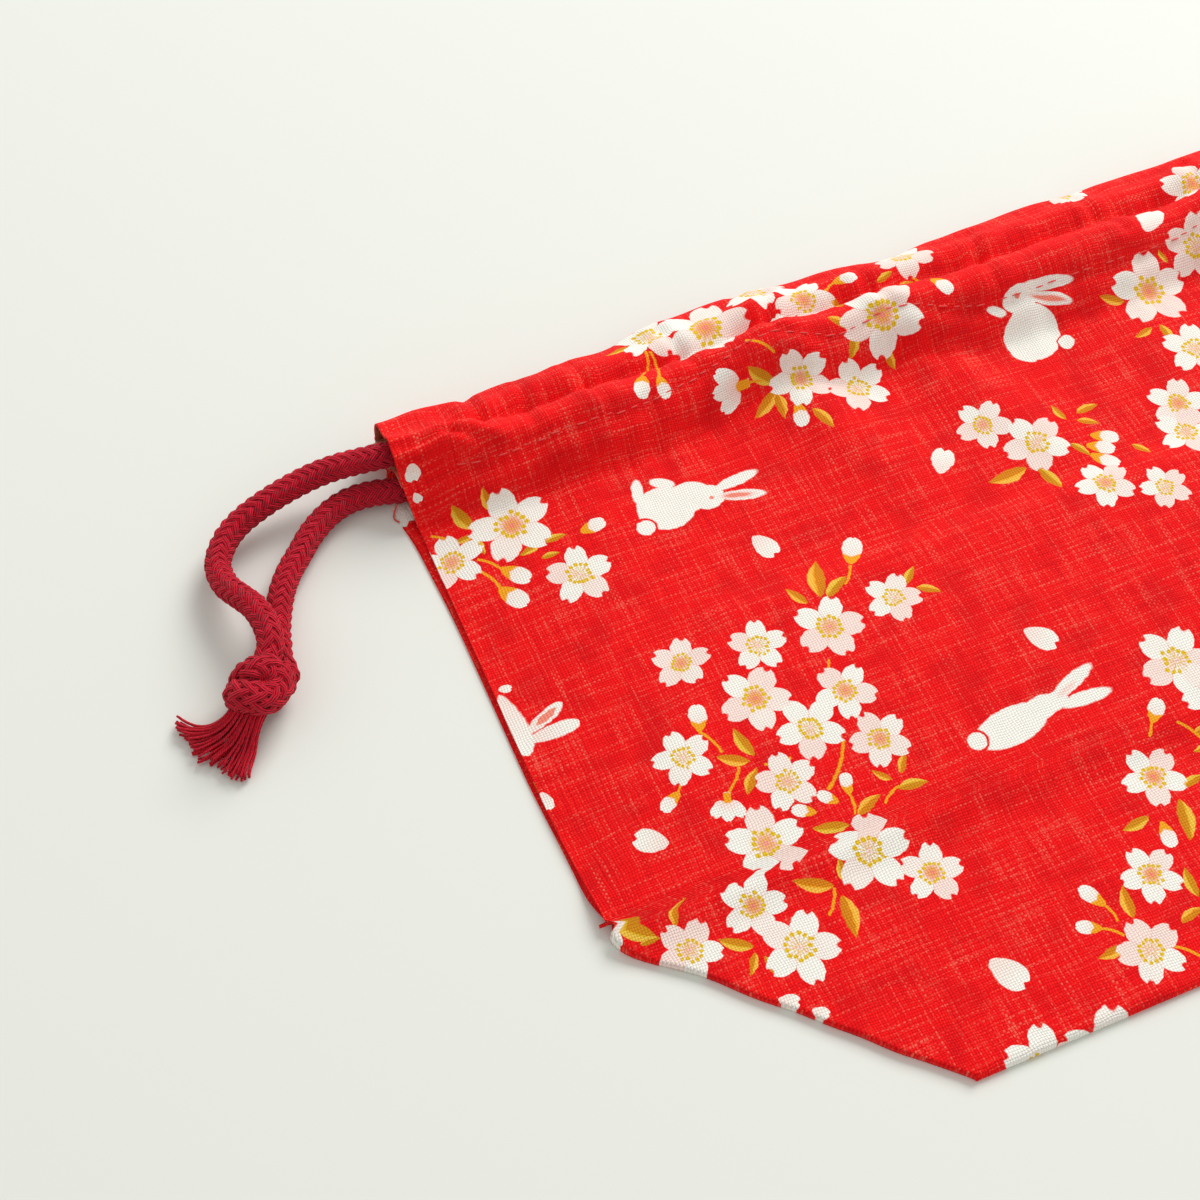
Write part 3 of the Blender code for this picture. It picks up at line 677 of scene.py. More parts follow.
    def width_at(self, y: float, side: float) -> float:
        """Returns half the width at y: the sides, then the diagonal folds under the corners."""
        return self.smooth_min(side, SIDE + (y - BASE_SEAM))

    @staticmethod
    def edge_wave(y: float) -> float:
        """Returns how far the diagonal edge waves outwards at y."""
        wave = 0.5 + 0.7 * noise(Vector((y / 0.0075, 0.0, 1.3)))
        corner = 0.0021 * math.exp(-(((y - BASE_SEAM + 0.005) / 0.006) ** 2))
        waves = 0.0013 * wave * smooth_step((y + MOUTH - 0.002) / 0.008)
        return (corner + waves) * smooth_step((BASE_SEAM - y) / 0.0016)

    def base_width_at(self, y: float) -> float:
        """Returns half the width of the folded base at y above its seam."""
        return self.smooth_min(SIDE, SIDE - (y - BASE_SEAM))

    def ripple(self, x: float, y: float) -> float:
        """Returns the cloth's own low waves, which are never below the plain lay."""
        edge = smooth_step((FRONT_SIDE - abs(x)) / 0.010) * smooth_step((MOUTH - y) / 0.008)
        slow = 0.5 + 0.5 * noise(Vector((x / 0.034, y / 0.040, 3.1)))
        quick = 0.5 + 0.5 * noise(Vector((x / 0.011, y / 0.017, 8.7)))
        near_hem = math.exp(-(((y - self.stitch_line(x) + 0.004) / 0.011) ** 2))
        gathers = 0.5 + 0.5 * noise(Vector((x / 0.0042, y / 0.030, 5.5)))
        return edge * (0.0007 * slow + 0.00022 * quick + 0.0009 * near_hem * gathers) + self.creases(x, y)

    def creases(self, x: float, y: float) -> float:
        """Returns the casing's creases, each a dip between two low ridges, and its small puckers."""
        above = smooth_step((y - self.stitch_line(x) - 0.001) / 0.003)
        inside = above * smooth_step((self.mouth_line(x) - y) / 0.004)
        if inside <= 0.0:
            return 0.0
        puckers = 0.5 + 0.5 * noise(Vector((x / 0.0060 + y / 0.028, y / 0.040, 2.2)))
        height = 0.0009 * puckers
        for x0, y0, x1, y1, depth, width in CASING_CREASES:
            run = Vector((x1 - x0, y1 - y0))
            off = Vector((x - x0, y - y0))
            share = min(max(off.dot(run) / run.length_squared, 0.0), 1.0)
            away = (off - run * share).length / width
            height += depth * (1 - math.exp(-(away**2))) * math.exp(-((away / 2.4) ** 2)) * 1.6
        return inside * height

    def lift(self, x: float, y: float) -> float:
        """Returns how far the cloth stands up towards the mouth's fold."""
        ends = smooth_step((x + SIDE - 0.006) / 0.030) * smooth_step((SIDE - 0.006 - x) / 0.030)
        wave = 0.8 + 0.4 * noise(Vector((x / 0.012, 0.0, 6.6)))
        return MOUTH_LIFT * ends * wave * smooth_step((y - self.mouth_line(x) + 0.014) / 0.014)


Row = Callable[[float], Point]
Level = Callable[[float, float], float]

# A sheet's material slots. The cloth's inner face takes the slot after its outer one
PRINTED, PRINTED_BOTH = 0, 2


@dataclass
class Panel:
    """One cut of cloth, folded row by row: its rows, and the pairs of rows its diagonal folds join."""

    name: str
    rows: list[Row]
    pairs: list[tuple[int, int]]
    square_row: int
    bottom_row: int
    hem_rows: int
    columns: int
    way: int

    def across(self) -> list[float]:
        """Returns positions across the cloth from -1 to 1, with one where the hem stops."""
        stop = 1 - HEM_STOP / SIDE
        narrow = max(round(self.columns * (1 - stop) / 2), 3)
        wide = self.columns - 2 * narrow
        ends = [1 - (1 - stop) * i / narrow for i in range(narrow)]
        return [*(-u for u in ends), *(-stop + 2 * stop * i / wide for i in range(wide + 1)), *ends[::-1]]

    def fold(self) -> bmesh.types.BMesh:
        """Folds a flat grid along the rows and joins its diagonal folds.

        Returns:
            The sheet, without thickness, with its flat-cloth coordinates in the UV layer "Cloth".
        """
        places = self.across()
        last_column, last_row = len(places) - 1, len(self.rows) - 1
        bm = bmesh.new()
        grid = grid_on(bm, last_column, last_row, lambda column, row: self.rows[row](places[column]))
        flat = {}

        def lengths_of(column: int) -> list[float]:
            """Returns how far down the cloth each row of a column lies."""
            steps = ((grid[column, r + 1].co - grid[column, r].co).length for r in range(last_row))
            return [0.0, *accumulate(steps)]

        middle = lengths_of(last_column // 2)
        for column in range(last_column + 1):
            lengths = lengths_of(column)
            for row, length in enumerate(lengths):
                vert = grid[column, row]
                if row > self.square_row:
                    flat[vert] = Vector((self.way * vert.co.x, middle[self.bottom_row] - middle[row]))
                else:
                    above = middle[self.bottom_row] - middle[self.square_row]
                    above = above + lengths[self.square_row] - length
                    flat[vert] = Vector((self.way * places[column] * SIDE, above))
        stop_column = next(i for i, u in enumerate(places) if u > 1 - HEM_STOP / SIDE - 1e-6)
        stopped = range(stop_column, last_column + 1)
        past_stop = {grid[c, r] for c in stopped for r in range(self.hem_rows + 1)}
        cut_back = [face for face in bm.faces if past_stop.issuperset(face.verts)]
        bmesh.ops.delete(bm, geom=cut_back, context="FACES")
        if self.way > 0:
            bmesh.ops.reverse_faces(bm, faces=bm.faces)
        uv_layer = bm.loops.layers.uv.new("Cloth")
        for face in bm.faces:
            for loop in face.loops:
                loop[uv_layer].uv = flat[loop.vert]
        for face in bm.faces:
            shown = all(
                abs(vert.co.x) > FRONT_SIDE - 0.003 and flat[vert].y < SLIT_END + MOUTH for vert in face.verts
            )
            face.material_index = PRINTED_BOTH if shown else PRINTED
        for column in (0, last_column):
            rungs = [(grid[column, a], grid[column, b]) for a, b in self.pairs]
            for (a0, b0), (a1, b1) in zip(rungs, rungs[1:]):
                self.add_edge_face(bm, uv_layer, {a0: flat[a0], a1: flat[a1], b1: flat[a1], b0: flat[a0]})
            upper, lower = self.pairs[0]
            around = [grid[column, row] for row in range(min(upper, lower), max(upper, lower) + 1)]
            self.add_edge_face(bm, uv_layer, dict.fromkeys(around, flat[around[0]]))
        return bm

    @staticmethod
    def add_edge_face(
        bm: bmesh.types.BMesh, uv_layer: bmesh.types.BMLayerItem, corners: dict[bmesh.types.BMVert, Vector]
    ) -> None:
        """Closes a diagonal fold with a face that faces outwards.

        Args:
            bm: The sheet.
            uv_layer: Its flat-cloth coordinates.
            corners: The face's vertices in order, each with its place on the flat cloth.
        """
        middle = sum((vert.co for vert in corners), Vector()) / len(corners)
        face = bm.faces.new(list(corners))
        face.normal_update()
        if face.normal.dot(Vector((middle.x, -0.2 * abs(middle.x), 0.0))) < 0:
            face.normal_flip()
        for loop in face.loops:
            loop[uv_layer].uv = corners[loop.vert]


@dataclass
class Tailor:
    """Lays out both panels' rows on a fine grid, by the part's rules."""

    lay: Lay = field(default_factory=Lay)
    fold_turns: tuple[int, ...] = (60, 30, 0, -30, -60)
    hem_steps: int = 14
    casing_steps: int = 30
    near_hem_steps: int = 34
    body_steps: int = 42
    base_steps: int = 34

    def layer_row(self, side: float, level: Level, share: float, shift: Level) -> Row:
        """Returns a row at a share of the way up the casing."""

        def place(u: float) -> Point:
            """Returns the place of a column."""
            x = max(-side, min(u * SIDE, side))
            low = self.lay.stitch_line(x)
            y = low + (self.lay.mouth_line(x) - low) * share
            return x + shift(u, y), y, level(x, y)

        return place

    def top_fold_row(self, side: float, inner: Level, outer: Level, degrees: float, shift: Level) -> Row:
        """Returns a row of the fold at the mouth, which turns from the hem to the outer layer."""

        def place(u: float) -> Point:
            """Returns the place of a column."""
            x = max(-side, min(u * SIDE, side))
            y = self.lay.mouth_line(x)
            low, high = sorted((inner(x, y), outer(x, y)))
            turn = math.radians(degrees)
            out = (high - low) / 2 * math.cos(turn)
            return x + shift(u, y), y + out, (low + high) / 2 + (high - low) / 2 * math.sin(turn)

        return place

    def body_row(self, side: float, level: Level, share: float, line: float, shift: Level) -> Row:
        """Returns a row between the stitches (share 1) and a straight line across (share 0)."""

        def place(u: float) -> Point:
            """Returns the place of a column."""
            x = max(-side, min(u * SIDE, side))
            y = line + (self.lay.stitch_line(x) - line) * share
            return x + shift(u, y), y, level(x, y)

        return place

    @staticmethod
    def fold_row(width: float, y: float, way: int, low: float, high: float, degrees: float) -> Row:
        """Returns a row of a straight fold across the bag."""
        radius = (high - low) / 2
        turn = math.radians(degrees)
        place = y + way * radius * math.cos(turn)
        return lambda u: (u * width, place, (low + high) / 2 + radius * math.sin(turn))

    def upper_rows(
        self, side: float, inner: Level, outer: Level, shift: Level, hem_shift: Level
    ) -> tuple[list[Row], int]:
        """Lays the rows from the hem's free edge down to the base seam.

        Args:
            side: Half the panel's width.
            inner: The hem's height at a place.
            outer: The body's height at a place.
            shift: How far the body's rows move along X, by the place across and Y.
            hem_shift: The same for the hem's rows.

        Returns:
            The rows and how many of them are the hem's.
        """
        upward = outer(0.0, MOUTH) > inner(0.0, MOUTH)
        rows = [
            self.layer_row(side, inner, (1 - math.cos(math.pi * i / self.hem_steps)) / 2, hem_shift)
            for i in range(self.hem_steps + 1)
        ]
        turns = [-d if upward else d for d in self.fold_turns]
        rows += [self.top_fold_row(side, inner, outer, d, shift) for d in turns]
        steps = [i / self.casing_steps for i in range(self.casing_steps + 1)]
        eased = [0.6 * (1 - t) + 0.4 * (1 + math.cos(math.pi * t)) / 2 for t in steps]
        rows += [self.layer_row(side, outer, share, shift) for share in eased]
        first = BASE_TOP + PITCH + STEP_RUN
        shares = [1 - i / self.near_hem_steps for i in range(1, self.near_hem_steps + 1)]
        rows += [self.body_row(side, outer, share, first, shift) for share in shares]
        last = BASE_SEAM + SEAM_GAP + CLOTH + PITCH
        lines = [first + (last - first) * i / self.body_steps for i in range(1, self.body_steps + 1)]
        rows += [self.body_row(side, outer, 0.0, line, shift) for line in lines]
        return rows, self.hem_steps + 1 + len(self.fold_turns) // 2

    def front(self) -> Panel:
        """Returns the front panel's rows."""
        lay = self.lay

        def far_side(y: float) -> float:
            """Returns 1 at the far side of the casing's open end, 0 elsewhere."""
            low, high = lay.stitch_line(-FRONT_SIDE), lay.mouth_line(-FRONT_SIDE)
            share = (y - low) / (high - low)
            return smooth_step((share - 0.52) / 0.26) * smooth_step((1 - share) / 0.20)

        def edge(u: float, y: float) -> float:
            """Returns how far the body's left edge lies out."""
            out = FRONT_EDGE_OUT + CASING_EDGE_OUT * smooth_step((y - 0.060) / 0.012)
            return -out * smooth_step((y - BASE_SEAM) / 0.030) * smooth_step((-u - 0.90) / 0.10)

        def hem_edge(u: float, y: float) -> float:
            """Returns how far the hem's left end lies out."""
            return edge(u, y) - HEM_END_OUT * far_side(y) * smooth_step((-u - 0.88) / 0.12)

        def hem_level(x: float, y: float) -> float:
            """Returns the hem's height, which rises at the open end."""
            end = HEM_END_LIFT * far_side(y) * (1 - smooth_step((x + SIDE) / 0.014))
            return lay.front_hem_level(x, y) + lay.lift(x, y) + end

        rows, hem_rows = self.upper_rows(
            FRONT_SIDE,
            hem_level,
            lambda x, y: lay.front_level(x, y) + lay.ripple(x, y) + lay.lift(x, y),
            edge,
            hem_edge,
        )
        seam_width = lay.width_at(BASE_SEAM, FRONT_SIDE)
        rows.append(lambda u: (u * seam_width, BASE_SEAM, lay.front_level(u * seam_width, BASE_SEAM)))
        seam_row = len(rows) - 1
        low, high = FLOOR_LEVEL, FLOOR_LEVEL + PITCH
        inner = -MOUTH + PITCH / 2 + CLOTH / 2
        steps = range(1, self.base_steps + 1)
        heights = [BASE_SEAM + (inner - BASE_SEAM) * i / self.base_steps for i in steps]

        def lower(y: float) -> Row:
            """Returns a row of the front below the base seam."""
            width = lay.width_at(y, FRONT_SIDE) + lay.edge_wave(y)
            return lambda u: (u * width, y, lay.lower_front_level(y) + lay.ripple(u * width, y) * 0.6)

        def under(y: float) -> Row:
            """Returns a row of the front's half of the folded base."""
            width = lay.width_at(y, FRONT_SIDE) + lay.edge_wave(y)
            return lambda u: (u * width, y, low)

        rows += [lower(y) for y in heights]
        last_upper = len(rows) - 1
        bottom_width = lay.width_at(inner, FRONT_SIDE)
        rows += [self.fold_row(bottom_width, inner, -1, low, high, d) for d in self.fold_turns]
        first_lower = len(rows)
        rows += [under(y) for y in [*reversed(heights), BASE_SEAM - SEAM_GAP / 2]]
        pairs = [(last_upper - i, first_lower + i) for i in range(self.base_steps + 1)]
        assert pairs[-1] == (seam_row, len(rows) - 1)
        return Panel("cloth_front", rows, pairs, seam_row, last_upper + 3, hem_rows, 232, 1)

    def back(self) -> Panel:
        """Returns the back panel's rows."""
        lay = self.lay

        def slit_edge(u: float, y: float) -> float:
            """Returns how far the back's left edge bulges at the slit."""
            out = SLIT_BULGE * math.exp(-(((y - (SLIT_END + 0.008)) / 0.009) ** 2))
            out += SLIT_EDGE_OUT * (smooth_step((y + 0.030) / 0.030) - smooth_step((y - 0.076) / 0.008))
            out += 0.0008 * math.exp(-(((y - 0.058) / 0.014) ** 2))
            out -= 0.0018 * math.exp(-(((y - BASE_SEAM) / 0.005) ** 2))
            return -out * smooth_step((-u - 0.93) / 0.07)

        def hem_edge(u: float, y: float) -> float:
            """Returns how far the hem's left end lies in."""
            into = BACK_HEM_IN * (1 - smooth_step((y - 0.079) / 0.008))
            return into * smooth_step((-u - 0.93) / 0.07)

        rows, hem_rows = self.upper_rows(SIDE, lay.back_hem_level, lay.back_level, slit_edge, hem_edge)
        low, high, back_high = (FLOOR_LEVEL + PITCH * layer for layer in range(3))
        near_seam = BASE_SEAM + SEAM_GAP + CLOTH + PITCH
        rows += [self.fold_row(SIDE, near_seam, -1, high, back_high, d) for d in self.fold_turns]
        bottom_row = len(rows) - 3
        inner = BASE_TOP - PITCH / 2 - CLOTH / 2
        steps = self.base_steps // 2
        heights = [near_seam + (inner - near_seam) * i / steps for i in range(steps + 1)]

        def base(y: float, level: float) -> Row:
            """Returns a row of the back's half of the folded base."""
            width = lay.base_width_at(y)
            return lambda u: (u * width, y, level)

        first_upper = len(rows)
        rows += [base(y, high) for y in heights]
        rows += [self.fold_row(lay.base_width_at(inner), inner, 1, low, high, d) for d in self.fold_turns]
        first_lower = len(rows)
        rows += [base(y, low) for y in [*reversed(heights[1:]), BASE_SEAM + SEAM_GAP / 2]]
        pairs = [(first_lower - len(self.fold_turns) - 1 - i, first_lower + i) for i in range(steps + 1)]
        assert pairs[-1] == (first_upper, len(rows) - 1)
        return Panel("cloth_back", rows, pairs, bottom_row, bottom_row, hem_rows, 128, -1)


@dataclass
class Line:
    """A smooth line through space, with a frame carried along it that doesn't twist."""

    points: list[Vector]
    up: Vector = field(default_factory=lambda: Vector((0, 0, 1)))

    @cached_property
    def lengths(self) -> list[float]:
        """How far along the line each point lies."""
        lengths = [0.0]
        for a, b in zip(self.points, self.points[1:]):
            lengths.append(lengths[-1] + (b - a).length)
        return lengths

    @cached_property
    def frames(self) -> list[tuple[Vector, Vector, Vector]]:
        """The line's direction, its carried side and its carried top at each point."""
        frames = []
        side = None
        for i in range(len(self.points)):
            ahead = self.points[min(i + 1, len(self.points) - 1)]
            along = (ahead - self.points[max(i - 1, 0)]).normalized()
            if side is None:
                side = self.up.cross(along).normalized()
            side = (side - along * side.dot(along)).normalized()
            frames.append((along, side, along.cross(side)))
        return frames

    def at(self, distance: float) -> tuple[Vector, Vector, Vector, Vector]:
        """Reads the line at a distance from its start.

        Args:
            distance: How far along, in metres, held to the line's ends.

        Returns:
            The place, the direction, the side and the top there.
        """
        distance = min(max(distance, 0.0), self.lengths[-1])
        low = min(int(distance / self.lengths[-1] * (len(self.points) - 1)), len(self.points) - 2)
        while low > 0 and self.lengths[low] > distance:
            low -= 1
        while low < len(self.points) - 2 and self.lengths[low + 1] < distance:
            low += 1
        share = (distance - self.lengths[low]) / max(self.lengths[low + 1] - self.lengths[low], 1e-9)
        place = self.points[low].lerp(self.points[low + 1], share)
        blended = [a.lerp(b, share).normalized() for a, b in zip(self.frames[low], self.frames[low + 1])]
        return (place, *blended)


@dataclass
class Braid:
    """A round braid of sixteen flat strands, each of three yarns, that pass over two and under two."""

    diameter: float = CORD_DIAMETER
    lay: float = 0.0184
    strands_each_way: int = 8
    strand_width: float = 0.00168
    strand_height: float = 0.00105
    weave_depth: float = 0.00026
    rings_per_lay: int = 30
    line_spacing: float = 0.0005
    core_share: float = 0.66
    # A strand's section, point by point: the place across, from -1 to 1, and the height
    section: tuple[tuple[float, float], ...] = (
        (-0.97, -0.12),
        (-0.74, 0.26),
        (-0.40, 0.42),
        (0.0, 0.50),
        (0.40, 0.42),
        (0.74, 0.26),
        (0.97, -0.12),
        (0.45, -0.42),
        (-0.45, -0.42),
    )

    def add_strand(self, bm: bmesh.types.BMesh, line: Line, way: int, turn: float, squeeze: float) -> None:
        """Adds one strand that winds along a line.

        Args:
            bm: The mesh that gets it.
            line: The braid's centreline.
            way: 1 or -1, the way it winds.
            turn: Its angle about the line at the start, in radians.
            squeeze: The braid's thickness as a share of its diameter.
        """
        length = line.lengths[-1]
        rings = max(round(length / self.lay * self.rings_per_lay), 4)
        radius = self.diameter / 2 * squeeze - self.strand_height / 2 - self.weave_depth
        middles, outs = [], []
        for ring in range(rings + 1):
            distance = length * ring / rings
            place, _, side, top = line.at(distance)
            angle = turn + way * 2 * math.pi * distance / self.lay
            float_up = way * math.cos(self.strands_each_way / 2 * angle)
            out = side * math.cos(angle) + top * math.sin(angle)
            middles.append(place + out * (radius + self.weave_depth * float_up))
            outs.append(out)
        uv_layer = bm.loops.layers.uv["Yarn"]
        sides = len(self.section)

        def on_strand(column: int, ring: int) -> Vector:
            """Returns the place of one of the strand's vertices."""
            run = middles[min(ring + 1, rings)] - middles[max(ring - 1, 0)]
            across = run.cross(outs[ring]).normalized()
            width, height = self.section[column % sides]
            shift = across * (width * self.strand_width / 2) + outs[ring] * (height * self.strand_height)
            return middles[ring] + shift

        grid = grid_on(bm, sides, rings, on_strand)
        columns = {vert: key for key, vert in grid.items()}
        faces = {face for vert in grid.values() for face in vert.link_faces}
        for face in faces:
            for loop in face.loops:
                column, ring = columns[loop.vert]
                loop[uv_layer].uv = (column / sides + way, length * ring / rings / self.strand_width)

    def build(
        self, name: str, points: Sequence[Point], finish: bpy.types.Material, squeeze: float = 1.0
    ) -> tuple[bpy.types.Object, list[Vector]]:
        """Braids a cord along a route.

        Args:
            name: The object's name.
            points: The places that its centreline passes.
            finish: Its material.
            squeeze: Its thickness as a share of the diameter, less where a knot pulls it tight.

        Returns:
            The cord and its centreline.
        """
        line = Line(smooth_route(points, self.line_spacing))
        bm = bmesh.new()
        bm.loops.layers.uv.new("Yarn")
        first = math.pi / (2 * self.strands_each_way)
        for k in range(self.strands_each_way):
            turn = first / 2 + 2 * math.pi * k / self.strands_each_way
            self.add_strand(bm, line, 1, turn, squeeze)
            self.add_strand(bm, line, -1, turn, squeeze)
        add_tube(bm, line, self.diameter / 2 * squeeze * self.core_share, 12, self.line_spacing * 4)
        close_tubes(bm)
        LOG.info("%s: %.1f mm of braid", name, 1000 * line.lengths[-1])
        return object_from(bm, name, [finish]), line.points


def add_tube(bm: bmesh.types.BMesh, line: Line, radius: float, sides: int, spacing: float) -> None:
    """Adds a plain round tube along a line.

    Args:
        bm: The mesh that gets it.
        line: The tube's centreline.
        radius: Its radius, in metres.
        sides: How many faces it has round.
        spacing: The distance wanted between its rings.
    """
    rings = max(round(line.lengths[-1] / spacing), 2)
    readings = [line.at(line.lengths[-1] * ring / rings) for ring in range(rings + 1)]

    def on_tube(column: int, ring: int) -> Vector:
        """Returns the place of one of the tube's vertices."""
        place, _, side, top = readings[ring]
        angle = 2 * math.pi * column / sides
        return place + (side * math.cos(angle) + top * math.sin(angle)) * radius

    grid_on(bm, sides, rings, on_tube)


def close_tubes(bm: bmesh.types.BMesh) -> None:
    """Joins the seam of every tube, caps its ends and turns its faces outwards."""
    bmesh.ops.remove_doubles(bm, verts=bm.verts, dist=1e-6)
    bmesh.ops.holes_fill(bm, edges=[edge for edge in bm.edges if edge.is_boundary], sides=0)
    bmesh.ops.recalc_face_normals(bm, faces=bm.faces)


def new_material(name: str) -> tuple[bpy.types.Material, Graph]:
    """Returns a new material and the graph of its nodes."""
    material = bpy.data.materials.new(name)
    material.use_nodes = True
    return material, Graph(material.node_tree)


@dataclass(frozen=True)
class Surface:
    """How spun cotton takes the light: its relief, its dullness and its sheen."""

    relief: float
    relief_depth: float
    roughness: float
    sheen: float
    specular: float
    sheen_roughness: float = 0.5

    def finish(self, graph: Graph, colour: Signal, height: Signal) -> None:
        """Gives a material's shader its colour, its relief and this surface."""
        shader = graph.tree.nodes["Principled BSDF"]
        sockets = {"Height": height, "Strength": self.relief, "Distance": self.relief_depth}
        bump = graph.node("ShaderNodeBump", sockets)
        graph.tree.links.new(colour.socket, shader.inputs["Base Color"])
        graph.tree.links.new(bump.outputs["Normal"], shader.inputs["Normal"])
        shader.inputs["Roughness"].default_value = self.roughness
        shader.inputs["Sheen Weight"].default_value = self.sheen
        shader.inputs["Sheen Roughness"].default_value = self.sheen_roughness
        shader.inputs["Specular IOR Level"].default_value = self.specular


@dataclass(frozen=True)
class PlainFinish:
    """A dull finish of one colour."""

    name: str
    colour: Ink
    roughness: float

    def build(self) -> bpy.types.Material:
        """Returns the finish as a material."""
        material, graph = new_material(self.name)
        shader = graph.tree.nodes["Principled BSDF"]
        shader.inputs["Base Color"].default_value = self.colour
        shader.inputs["Roughness"].default_value = self.roughness
        return material


@dataclass(frozen=True)
class Knot:
    """The knot's own frame and sizes, repeated from the part, and how its turns run in it."""

    centre: Point = (-0.1834, 0.0347, 0.0066)
    heading: Point = (-0.62, -0.78, 0.0)
    length: float = 0.0148
    core: Point = (0.0054, 0.0056, 0.0044)
    core_middle: Point = (0.0012, -0.0002, 0.0)
    squeeze: float = 1.2
    turns: tuple[Point, ...] = (
        (0.0010, -0.0026, -0.0024),
        (0.0006, -0.0033, 0.0004),
        (-0.0002, -0.0019, 0.0025),
        (-0.0017, 0.0006, 0.0030),
        (-0.0012, 0.0029, 0.0022),
        (0.0012, 0.0036, 0.0014),
        (0.0040, 0.0026, 0.0021),
        (0.0048, 0.0003, 0.0027),
        (0.0046, -0.0020, 0.0021),
        (0.0038, -0.0034, 0.0000),
        (0.0028, -0.0022, -0.0022),
        (0.0004, 0.0004, -0.0026),
        (-0.0020, 0.0026, -0.0020),
        (-0.0036, 0.0032, 0.0002),
        (-0.0041, 0.0020, 0.0012),
    )

    @property
    def frame(self) -> Matrix:
        """The turn and the place that take the knot's own coordinates to the bag's."""
        ahead = Vector(self.heading).normalized()
        up = Vector((0, 0, 1))
        turned = Matrix((ahead, up.cross(ahead), up)).transposed().to_4x4()
        return Matrix.Translation(self.centre) @ turned


@dataclass(frozen=True)
class Fringe:
    """The frayed end below the knot, as the part lays it, in loose yarns."""

    knot: Knot = field(default_factory=Knot)
    yarns: int = 64
    yarn_radius: float = 0.00027
    length: float = 0.0130
    neck: float = 0.0074
    neck_shift: float = -0.0012
    neck_height: float = 0.0045
    thickness: float = 0.0022
    drop: float = 0.0020
    clear: float = 0.0003
    opening: float = math.radians(100)
    bend: float = math.radians(-34)

    def place(self, t: float, side: float, level: float) -> Vector:
        """Returns a point of a yarn in the knot's frame.

        Args:
            t: The share of its length, below 0 inside the knot.
            side: Its place across the fan, from -1 to 1.
            level: Its place through the fan, from 0 at the table to 1.
        """
        out = max(t, 0.0)
        heading = (self.bend + side * self.opening / 2) * out**0.6
        reach = self.length * t
        x = self.knot.length / 2 - 0.0008 + reach * math.cos(heading)
        y = self.neck_shift + side * self.neck / 2 * (1 - 0.3 * t) + reach * math.sin(heading)
        thick = self.neck_height + (self.thickness - self.neck_height) * out
        clear = self.clear + self.drop * (1 - smooth_step(1.8 * out))
        return Vector((x, y, clear - self.knot.centre[2] + thick * level))

    def build(self, finish: bpy.types.Material) -> bpy.types.Object:
        """Builds the yarns.

        Args:
            finish: Their material.

        Returns:
            The frayed end.
        """
        bm = bmesh.new()
        uv_layer = bm.loops.layers.uv.new("Yarn")
        for i in range(self.yarns):
            side = 2 * (i + 0.5) / self.yarns - 1
            side = 0.96 * math.copysign(abs(side) ** 0.9, side)
            level = 0.5 + 0.5 * math.sin(2.4 * i) * math.sqrt(1 - 0.9 * side * side)
            cut = 0.93 + 0.10 * noise(Vector((0.37 * i, 2.0, 0.0))) + 0.05 * math.cos(9 * side)
            points = []
            for step in range(12):
                t = -0.12 + (cut + 0.12) * step / 11
                sway = 0.00045 * max(t, 0.0) * noise(Vector((3.0 * t, 1.7 * i, 5.0)))
                aside = 0.10 * max(t, 0.0) * noise(Vector((2.0 * t, 0.9 * i, 1.0)))
                point = self.place(t, side + aside, level)
                points.append(self.knot.frame @ (point + Vector((0.0, sway, 0.0))))
            line = Line(smooth_route([tuple(point) for point in points], 0.0009))
            add_tube(bm, line, self.yarn_radius, 6, 0.0009)
        close_tubes(bm)
        for face in bm.faces:
            for loop in face.loops:
                local = self.knot.frame.inverted() @ loop.vert.co
                loop[uv_layer].uv = (local.y / 0.0017, local.x / 0.0017)
        return object_from(bm, "tassel_yarns", [finish])


@dataclass(frozen=True)
class SpunFinish:
    """The cord's spun cotton yarn, striped along each strand's own coordinates.

    Its colours are painted shade in the grooves between the yarns, the yarns' own red, and painted highlight
    in random patches on the yarns' tops.
    """

    name: str
    groove_shade: Ink
    strand: Ink
    lit: Ink
    yarns_round: float = 6.0
    ply_lean: float = 0.12
    twist_lean: float = 2.2
    surface: Surface = Surface(0.9, 0.0002, 0.8, 0.05, 0.2)

    def build(self) -> bpy.types.Material:
        """Returns the finish as a material."""
        material, graph = new_material(self.name)
        yarn = graph.read(graph.node("ShaderNodeUVMap", uv_map="Yarn"), "UV")
        across, along, _ = graph.parts(yarn)
        ply = abs(graph.math("SINE", (across * self.yarns_round + along * self.ply_lean) * math.pi))
        twist = abs(graph.math("SINE", (across * self.yarns_round + along * self.twist_lean) * math.pi))
        height = ply * 0.7 + twist * 0.3
        patch = graph.noise(graph.vector(across * 8.0, along * 0.8))
        # Painted shade: the low places between the plies take the dark groove colour.
        colour = graph.blend(graph.step(0.10, 0.90, height), self.groove_shade, self.strand)
        # Painted highlight: random patches on the yarns' tops take the lit colour.
        paler = graph.step(0.42, 0.70, patch) * graph.step(0.4, 0.9, height) * 0.7
        colour = graph.blend(paler, colour, self.lit)
        self.surface.finish(graph, colour, height)
        return material


